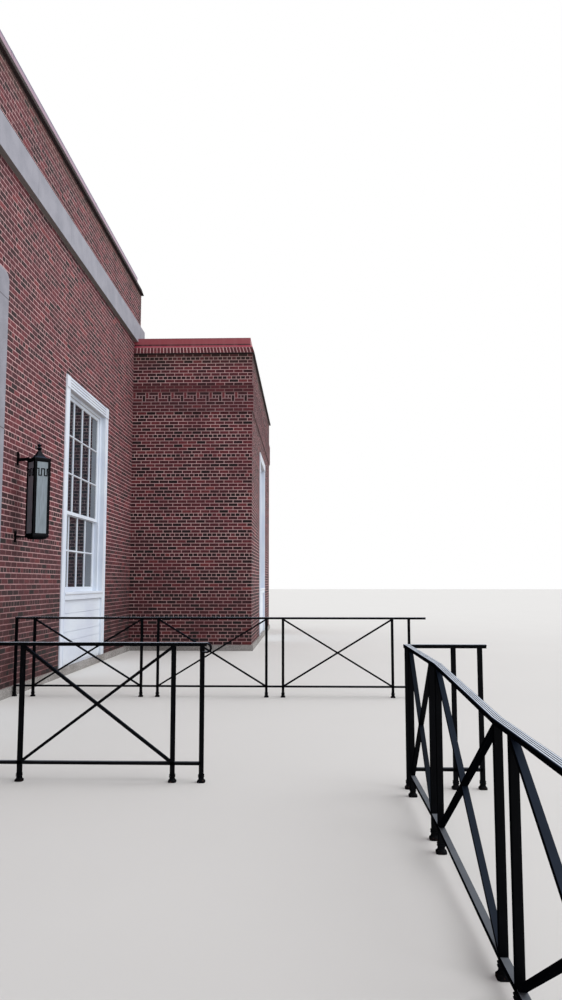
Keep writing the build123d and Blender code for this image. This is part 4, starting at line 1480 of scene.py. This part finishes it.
@dataclass
class Railing:
    """One iron rail: moulded handrail on a channel, posts on bell shoes, bottom rail, crossed braces.

    Its line is places and how far the rail has come down there; a shoe's steps are half size and height.
    """

    node: str
    panel: Panel
    posts: Array
    line: Array
    height: float = 0.972
    half_post: float = 0.0155
    post_foot: float = 0.030
    post_overlap: float = 0.002
    hand_width: float = 0.045
    hand_thickness: float = 0.014
    channel: float = 0.012
    low_middle: float = 0.130
    low_height: float = 0.022
    brace: float = 0.020
    brace_depth: float = 0.028
    brace_bay: float = 0.5
    return_radius: float = 0.0375
    return_reach: float = 0.068
    # Shares of painted sky reflection on the level faces of handrail, bottom rail, braces and posts.
    hand_sky_reflection: float = 1.0
    low_sky_reflection: float = 0.20
    brace_sky_reflection: float = 0.75
    post_sky_reflection: float = 0.5
    shoe: tuple[Pair, ...] = (
        (0.0280, 0.0), (0.0280, 0.012), (0.0262, 0.0150), (0.0225, 0.0175), (0.0190, 0.0225),
        (0.0178, 0.0290), (0.0185, 0.0350), (0.0215, 0.0380), (0.0215, 0.0415), (0.0190, 0.0435),
        (0.0190, 0.0470), (0.0212, 0.0495), (0.0212, 0.0540), (0.0185, 0.0560))

    def __post_init__(self) -> None:
        """Starts the rail's piece."""
        self.shell = Shell(f"{self.node}_ironwork", self.panel)

    def hand_outline(self) -> Array:
        """Outline of the handrail: rolled edges and three grooves of 2.6 mm.

        Returns:
            Anticlockwise points of depth and height, with the foot at 0.
        """
        turn = np.linspace(-0.45 * math.pi, 0.5 * math.pi, 6)
        half, radius = self.hand_width / 2, self.hand_thickness / 2
        edge = rows(half - radius + radius * np.cos(turn), radius + radius * np.sin(turn))
        groove = np.array([[0.0013, 0.0], [0.0006, -0.003], [-0.0006, -0.003], [-0.0013, 0.0]])
        groove = groove + [0.0, self.hand_thickness]
        right = np.concatenate([edge, groove + [0.009, 0.0]])
        return np.concatenate([right, groove, right[::-1] * [-1.0, 1.0]])

    def drop(self, places: Array) -> Array:
        """How far the rail has come down at each place."""
        return np.interp(places, self.line[:, 0], self.line[:, 1])

    def along(self, outline: Array, line: Array, level: float, sky_reflection: float) -> None:
        """Carries an outline of depth and height along the rail's line.

        Args:
            outline: anticlockwise points of depth and height.
            line: places and drops.
            level: the height of the outline's foot.
            sky_reflection: its share of painted sky reflection on level faces.
        """
        place, drop = line[::-1].T[..., None]
        self.shell.sweeps(rows(place, level + outline[:, 1] - drop, outline[:, 0])[None], sky_reflection)

    def add_rails(self) -> None:
        """Adds handrail, channel and bottom rail."""
        line, half = self.line, self.half_post
        box = np.array([[half, 0.0], [half, 1.0], [-half, 1.0], [-half, 0.0]])
        hand_low = self.height - self.hand_thickness
        self.along(self.hand_outline(), line, hand_low, self.hand_sky_reflection)
        self.along(box * [1.0, self.channel], line, hand_low - self.channel, self.post_sky_reflection)
        inside = line[(line[:, 0] > self.posts[0]) & (line[:, 0] < self.posts[-1])]
        ends = self.posts[[0, -1]]
        ends = rows(ends, self.drop(ends))
        self.along(box * [1.0, self.low_height], np.concatenate([ends[:1], inside, ends[1:]]),
                   self.low_middle - self.low_height / 2, self.low_sky_reflection)

    def add_posts(self) -> None:
        """Adds posts and their bell shoes.

        A shoe's ring is a rounded square: r (cos t, sin t) / (|cos t|^5 + |sin t|^5)^(1/5).
        """
        posts, half = self.posts, self.half_post
        top = self.height - self.hand_thickness - self.channel - self.drop(posts) + self.post_overlap
        self.shell.blocks((posts - half, posts + half), (self.post_foot, top), (-half, half), self.post_sky_reflection)
        size, height = np.array(self.shoe).T[..., None]
        turn = np.linspace(0.0, 2 * math.pi, 16, endpoint=False) + math.pi / 16
        size = size * (np.abs(np.cos(turn)) ** 5 + np.abs(np.sin(turn)) ** 5) ** -0.2
        self.shell.sweeps(rows(posts[:, None, None] + size * np.cos(turn), height, -size * np.sin(turn)), 0.0)

    def add_braces(self) -> None:
        """Adds two crossed bars in each bay wider than half a metre, from corner to corner."""
        left, right = self.posts[:-1], self.posts[1:]
        wide = right - left > self.brace_bay
        left, right = left[wide], right[wide]
        low, high = self.low_middle, self.height - self.hand_thickness - self.channel
        outline = np.array([[-1, -1], [1, -1], [1, 1], [-1, 1]]) * [self.brace / 2, self.brace_depth / 2]
        for start, end, out in ((low, high, 0.0), (high, low, (0.0, 0.0005))):
            self.shell.bars(outline, (left, right), (start - self.drop(left), end - self.drop(right)), out,
                            self.brace_sky_reflection)

    def add_return(self) -> None:
        """Adds the handrail's end: a half ring that comes back to the last post.

        The middle line is (centre + r sin t, top - R + r cos t) for t from 0 to π.
        """
        centre = self.posts[-1] + self.return_reach - self.return_radius
        level = self.height - self.return_radius
        turn = np.linspace(0.0, math.pi, 15)[:, None]
        depth, height = self.hand_outline().T
        radius = self.return_radius - self.hand_thickness + height
        ring = rows(centre + radius * np.sin(turn), level + radius * np.cos(turn), depth)
        tail = rows(np.array([[centre], [self.posts[-1]]]), level - radius, depth)
        self.shell.sweeps(np.concatenate([ring, tail])[None, ::-1], self.hand_sky_reflection)

    def build(self, finishes: Finishes, turned_back: bool = False) -> None:
        """Makes the rail in place of its CAD node.

        Args:
            finishes: the materials, by slot or by their own name.
            turned_back: whether the handrail's end comes back to its last post.
        """
        self.add_rails()
        self.add_posts()
        self.add_braces()
        if turned_back:
            self.add_return()
        piece = self.shell.build(finishes, "black_iron", smooth=True, stands_for=(self.node,))
        bevel = piece.modifiers.new("worn_edges", "BEVEL")
        bevel.width = 0.0012
        bevel.segments = 1
        bevel.limit_method = "ANGLE"
        bevel.angle_limit = math.radians(50.0)


@dataclass
class Railings:
    """The four rails; a list of steps goes from each post to the next, a bay or the gap between two bays."""

    finishes: Finishes
    wall_post: float = 0.058
    place: float = 2.100
    walk_place: float = -4.367
    walk_start: float = 2.430
    corner: float = -2.230
    corner_reach: float = 0.0225
    edge: float = 0.0155
    far_steps: Sizes = (0.230, 1.343, 0.205, 1.343, 0.205, 1.343, 0.205)
    near_steps: Sizes = (0.205, 1.163, 0.205, 1.090, 0.205)
    walk_steps: Sizes = (0.885, 0.222, 1.320, 0.222, 1.320, 0.222, 1.320, 0.222)
    walk_fall: float = 0.064
    step_posts: Sizes = (4.367, 4.686, 4.868)
    far_overhang: float = 0.205
    near_overhang: float = 0.0305
    step_overhang: float = 0.045

    def build(self) -> None:
        """Makes all four rails."""
        far, near = (np.cumsum((self.wall_post, *steps)) for steps in (self.far_steps, self.near_steps))
        walk, step = np.cumsum((self.walk_start, *self.walk_steps)), np.array(self.step_posts)
        edge, fall = self.edge, self.walk_fall
        walk_line = rows((self.corner_reach - self.corner, walk[2], walk[3], walk[-1] + edge),
                         (0.0, 0.0, fall, fall))
        for node, panel, posts, line in (
                ("far_rail", Way.LEFT.at(self.place, 0), far, (far[0] - edge, far[-1] + self.far_overhang)),
                ("near_rail", Way.LEFT.at(-self.place, 0), near,
                 (near[0] - edge, near[-1] + self.near_overhang)),
                ("walk_rail", Way.BACK.at(0, self.walk_place), walk, walk_line),
                ("step_rail", Way.LEFT.at(self.corner, 0), step,
                 (step[0] - self.corner_reach, step[-1] + self.step_overhang))):
            line = line if node == "walk_rail" else rows(line, 0.0)
            Railing(node, panel, posts, line).build(self.finishes, node == "near_rail")


@dataclass
class Roofing:
    """Cover strips on the copings' joints, turned-up membrane edges and lapped roof sheets."""

    finishes: Finishes
    strip: float = 0.050
    bead: float = 0.008
    lift: float = 0.0025
    strip_foot: float = 0.056
    main_strip_head: float = 0.2335
    wing_strip_head: float = 0.2135
    main_setback: float = 0.074
    wing_setback: float = 0.040
    main_roof_drop: float = 0.45
    wing_roof_drop: float = 0.35
    upstand: float = 0.006
    sheet_step: float = 0.004
    lap: float = 0.060
    front_joints: Sizes = (-6.62, -2.50, 1.62, 5.75)
    side_joints: Sizes = (-4.6, -0.6, 3.4)
    wing_front_joints: Sizes = (-2.4, 0.6, 3.2)
    wing_side_joints: Sizes = (-4.4, -1.4, 1.6, 4.6)
    wing_back_joints: Sizes = (-2.0, 1.0)

    def strips(self, shell: Shell, spots: Sizes, shift: float = 0.0, wide: float = 0.050) -> None:
        """Adds upright strips along a fascia.

        Args:
            shell: the piece, on the fascia's axes.
            spots: the strips' places.
            shift: how far their middles stand from there.
            wide: their width.
        """
        rim, head = WING_TOP, self.wing_strip_head
        if shell.name.startswith("main"):
            rim, head = MAIN_TOP, self.main_strip_head
        middles = np.array(spots) + shift
        shell.blocks((middles - wide / 2, middles + wide / 2), (rim + self.strip_foot, rim + head),
                     (-0.001, self.lift))

    def coping_strips(self) -> None:
        """Makes the cover strips over the joints between coping sheets, and the hall's beads of sealant."""
        main, seams, wing = (Shell(name) for name in ("main_coping_strips", "main_coping_sealant",
                                                      "wing_coping_strips"))
        setback = self.main_setback
        spots = self.front_joints
        for panel in (Way.FRONT.at(0, setback), Way.BACK.at(0, MAIN_DEPTH - setback)):
            main.panel = seams.panel = panel
            self.strips(main, spots)
            self.strips(seams, spots, (self.strip + self.bead) / 2, self.bead)
        for sign, way in FLANKS:
            main.panel = way.at(sign * (MAIN_HALF - setback), MAIN_DEPTH / 2)
            self.strips(main, self.side_joints)
        main.build(self.finishes, "grey_coping_metal")
        seams.build(self.finishes, "grey_coping_metal", "sealant")
        setback = self.wing_setback
        for sign, way in FLANKS:
            middle = sign * (WING_INNER + WING_OUTER) / 2
            for wing.panel, spots in (
                    (Way.FRONT.at(middle, -WING_FRONT + setback), self.wing_front_joints),
                    (way.at(sign * (WING_OUTER - setback), (WING_BACK - WING_FRONT) / 2),
                     self.wing_side_joints),
                    (Way.BACK.at(sign * (MAIN_HALF + WING_OUTER) / 2, WING_BACK - setback),
                     self.wing_back_joints)):
                self.strips(wing, spots)
        wing.build(self.finishes, "coping_metal")

    def sheets(self) -> None:
        """Makes the lapped sheets of each roof, one metre wide, and the membrane turned up the parapets."""
        shell = Shell("roof_sheets")
        main, inner, outer = MAIN_HALF - WALL, WING_INNER + WALL, WING_OUTER - WALL
        front, back, thin = -WING_FRONT + WALL, WING_BACK - WALL, self.upstand
        step = self.sheet_step
        main_roof, wing_roof = (MAIN_TOP, self.main_roof_drop), (WING_TOP, self.wing_roof_drop)
        for x0, x1, y0, y1, (rim, drop), edges in (
                (-main, main, WALL, MAIN_DEPTH - WALL, main_roof, (Way.FRONT, Way.BACK, Way.LEFT, Way.RIGHT)),
                (MAIN_HALF, outer, 0.0, back, wing_roof, (Way.BACK, Way.RIGHT)),
                (-outer, -MAIN_HALF, 0.0, back, wing_roof, (Way.BACK, Way.LEFT)),
                (inner, outer, front, 0.0, wing_roof, (Way.FRONT, Way.LEFT, Way.RIGHT)),
                (-outer, -inner, front, 0.0, wing_roof, (Way.FRONT, Way.LEFT, Way.RIGHT))):
            level = rim - drop
            count = max(2, round(y1 - y0))
            laps = np.linspace(y0, y1, count + 1)
            number = np.arange(count)
            shell.blocks((x0, x1), (level - 0.001, level + step + step * (number % 2)),
                         (-laps[1:], -laps[:-1] + self.lap * (number > 0)),
                         0.25 + 0.5 * (number % 2) + 0.2 * ((number * 7) % 5 - 2) / 2)
            strips = {Way.FRONT: (x0, x1, y0, y0 + thin), Way.BACK: (x0, x1, y1 - thin, y1),
                      Way.LEFT: (x0, x0 + thin, y0, y1), Way.RIGHT: (x1 - thin, x1, y0, y1)}
            for near_x, far_x, near_y, far_y in (strips[edge] for edge in edges):
                shell.blocks((near_x, far_x), (level, rim - step), (-far_y, -near_y))
        shell.build(self.finishes, "roofing")

    def build(self) -> None:
        """Makes the strips and the sheets."""
        self.coping_strips()
        self.sheets()


@dataclass
class Studio:
    """Floor, world, one broad lamp and the camera at the photograph's angle."""

    finishes: Finishes
    eye: tuple[float, float, float] = (-7.88, -3.667, 1.40)
    pitch: float = 5.886
    yaw: float = -88.234
    lens: float = 28.77
    sensor: float = 36.0
    clip_end: float = 500.0
    sky: float = 0.88
    sun: float = 1.40
    sun_height: float = 42.0
    sun_turn: float = -6.0
    sun_width: float = 50.0
    floor_reach: float = 160.0

    def add_world(self) -> None:
        """Makes a white backdrop that lights the building at a lower, even level."""
        world = bpy.data.worlds.new("studio")
        bpy.context.scene.world = world
        world.use_nodes = True
        tree = world.node_tree
        backdrop = tree.nodes["Background"]
        camera, glossy, clear = (add_node(tree, "LightPath", out=f"Is {kind} Ray")
                                 for kind in ("Camera", "Glossy", "Transmission"))
        seen = add_node(tree, "Math", {0: camera, 1: glossy}, operation="MAXIMUM")
        seen = add_node(tree, "Math", {0: seen, 1: clear}, operation="MAXIMUM")
        level = add_node(tree, "MapRange", {"Value": seen, "To Min": self.sky, "To Max": 1.0})
        tree.links.new(level, backdrop.inputs["Strength"])
        backdrop.inputs["Color"].default_value = paint("ffffff")

    def build(self) -> None:
        """Makes the world, a broad soft sun, a level floor well past the building, and the camera."""
        self.add_world()
        data = bpy.data.lights.new("soft_key", "SUN")
        data.energy = self.sun
        data.angle = math.radians(self.sun_width)
        lamp = put("soft_key", data)
        lamp.rotation_euler = (math.radians(self.sun_height), 0.0, math.radians(self.sun_turn))
        mesh = bpy.data.meshes.new("studio_floor")
        ends = self.floor_reach * np.array([[-1, -1, 0], [1, -1, 0], [1, 1, 0], [-1, 1, 0]])
        mesh.from_pydata(ends, [], [[0, 1, 2, 3]])
        mesh.materials.append(self.finishes["studio_floor"])
        floor = put("studio_floor", mesh)
        data = bpy.data.cameras.new("camera")
        data.lens = self.lens
        data.sensor_width = self.sensor
        data.clip_end = self.clip_end
        camera = put("camera", data)
        camera.location = self.eye
        camera.rotation_euler = (math.radians(90.0 + self.pitch), 0.0, math.radians(self.yaw))
        bpy.context.scene.camera = camera
        bpy.context.scene.view_settings.view_transform = "Standard"


def corners(box: tuple) -> list[list[float]]:
    """A box's two corners as plain lists."""
    return [[float(value) for value in corner] for corner in box]


def main() -> None:
    """Builds every piece in order."""
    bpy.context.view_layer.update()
    finishes = {name: look.material() for name, look in LOOKS.items()}
    dress_nodes(finishes)
    for assembly in (Studio, Brickwork, Stonework, Windows, Entrance, Lanterns, Railings, Roofing):
        assembly(finishes).build()
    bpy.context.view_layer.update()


if __name__ == "__main__":
    main()
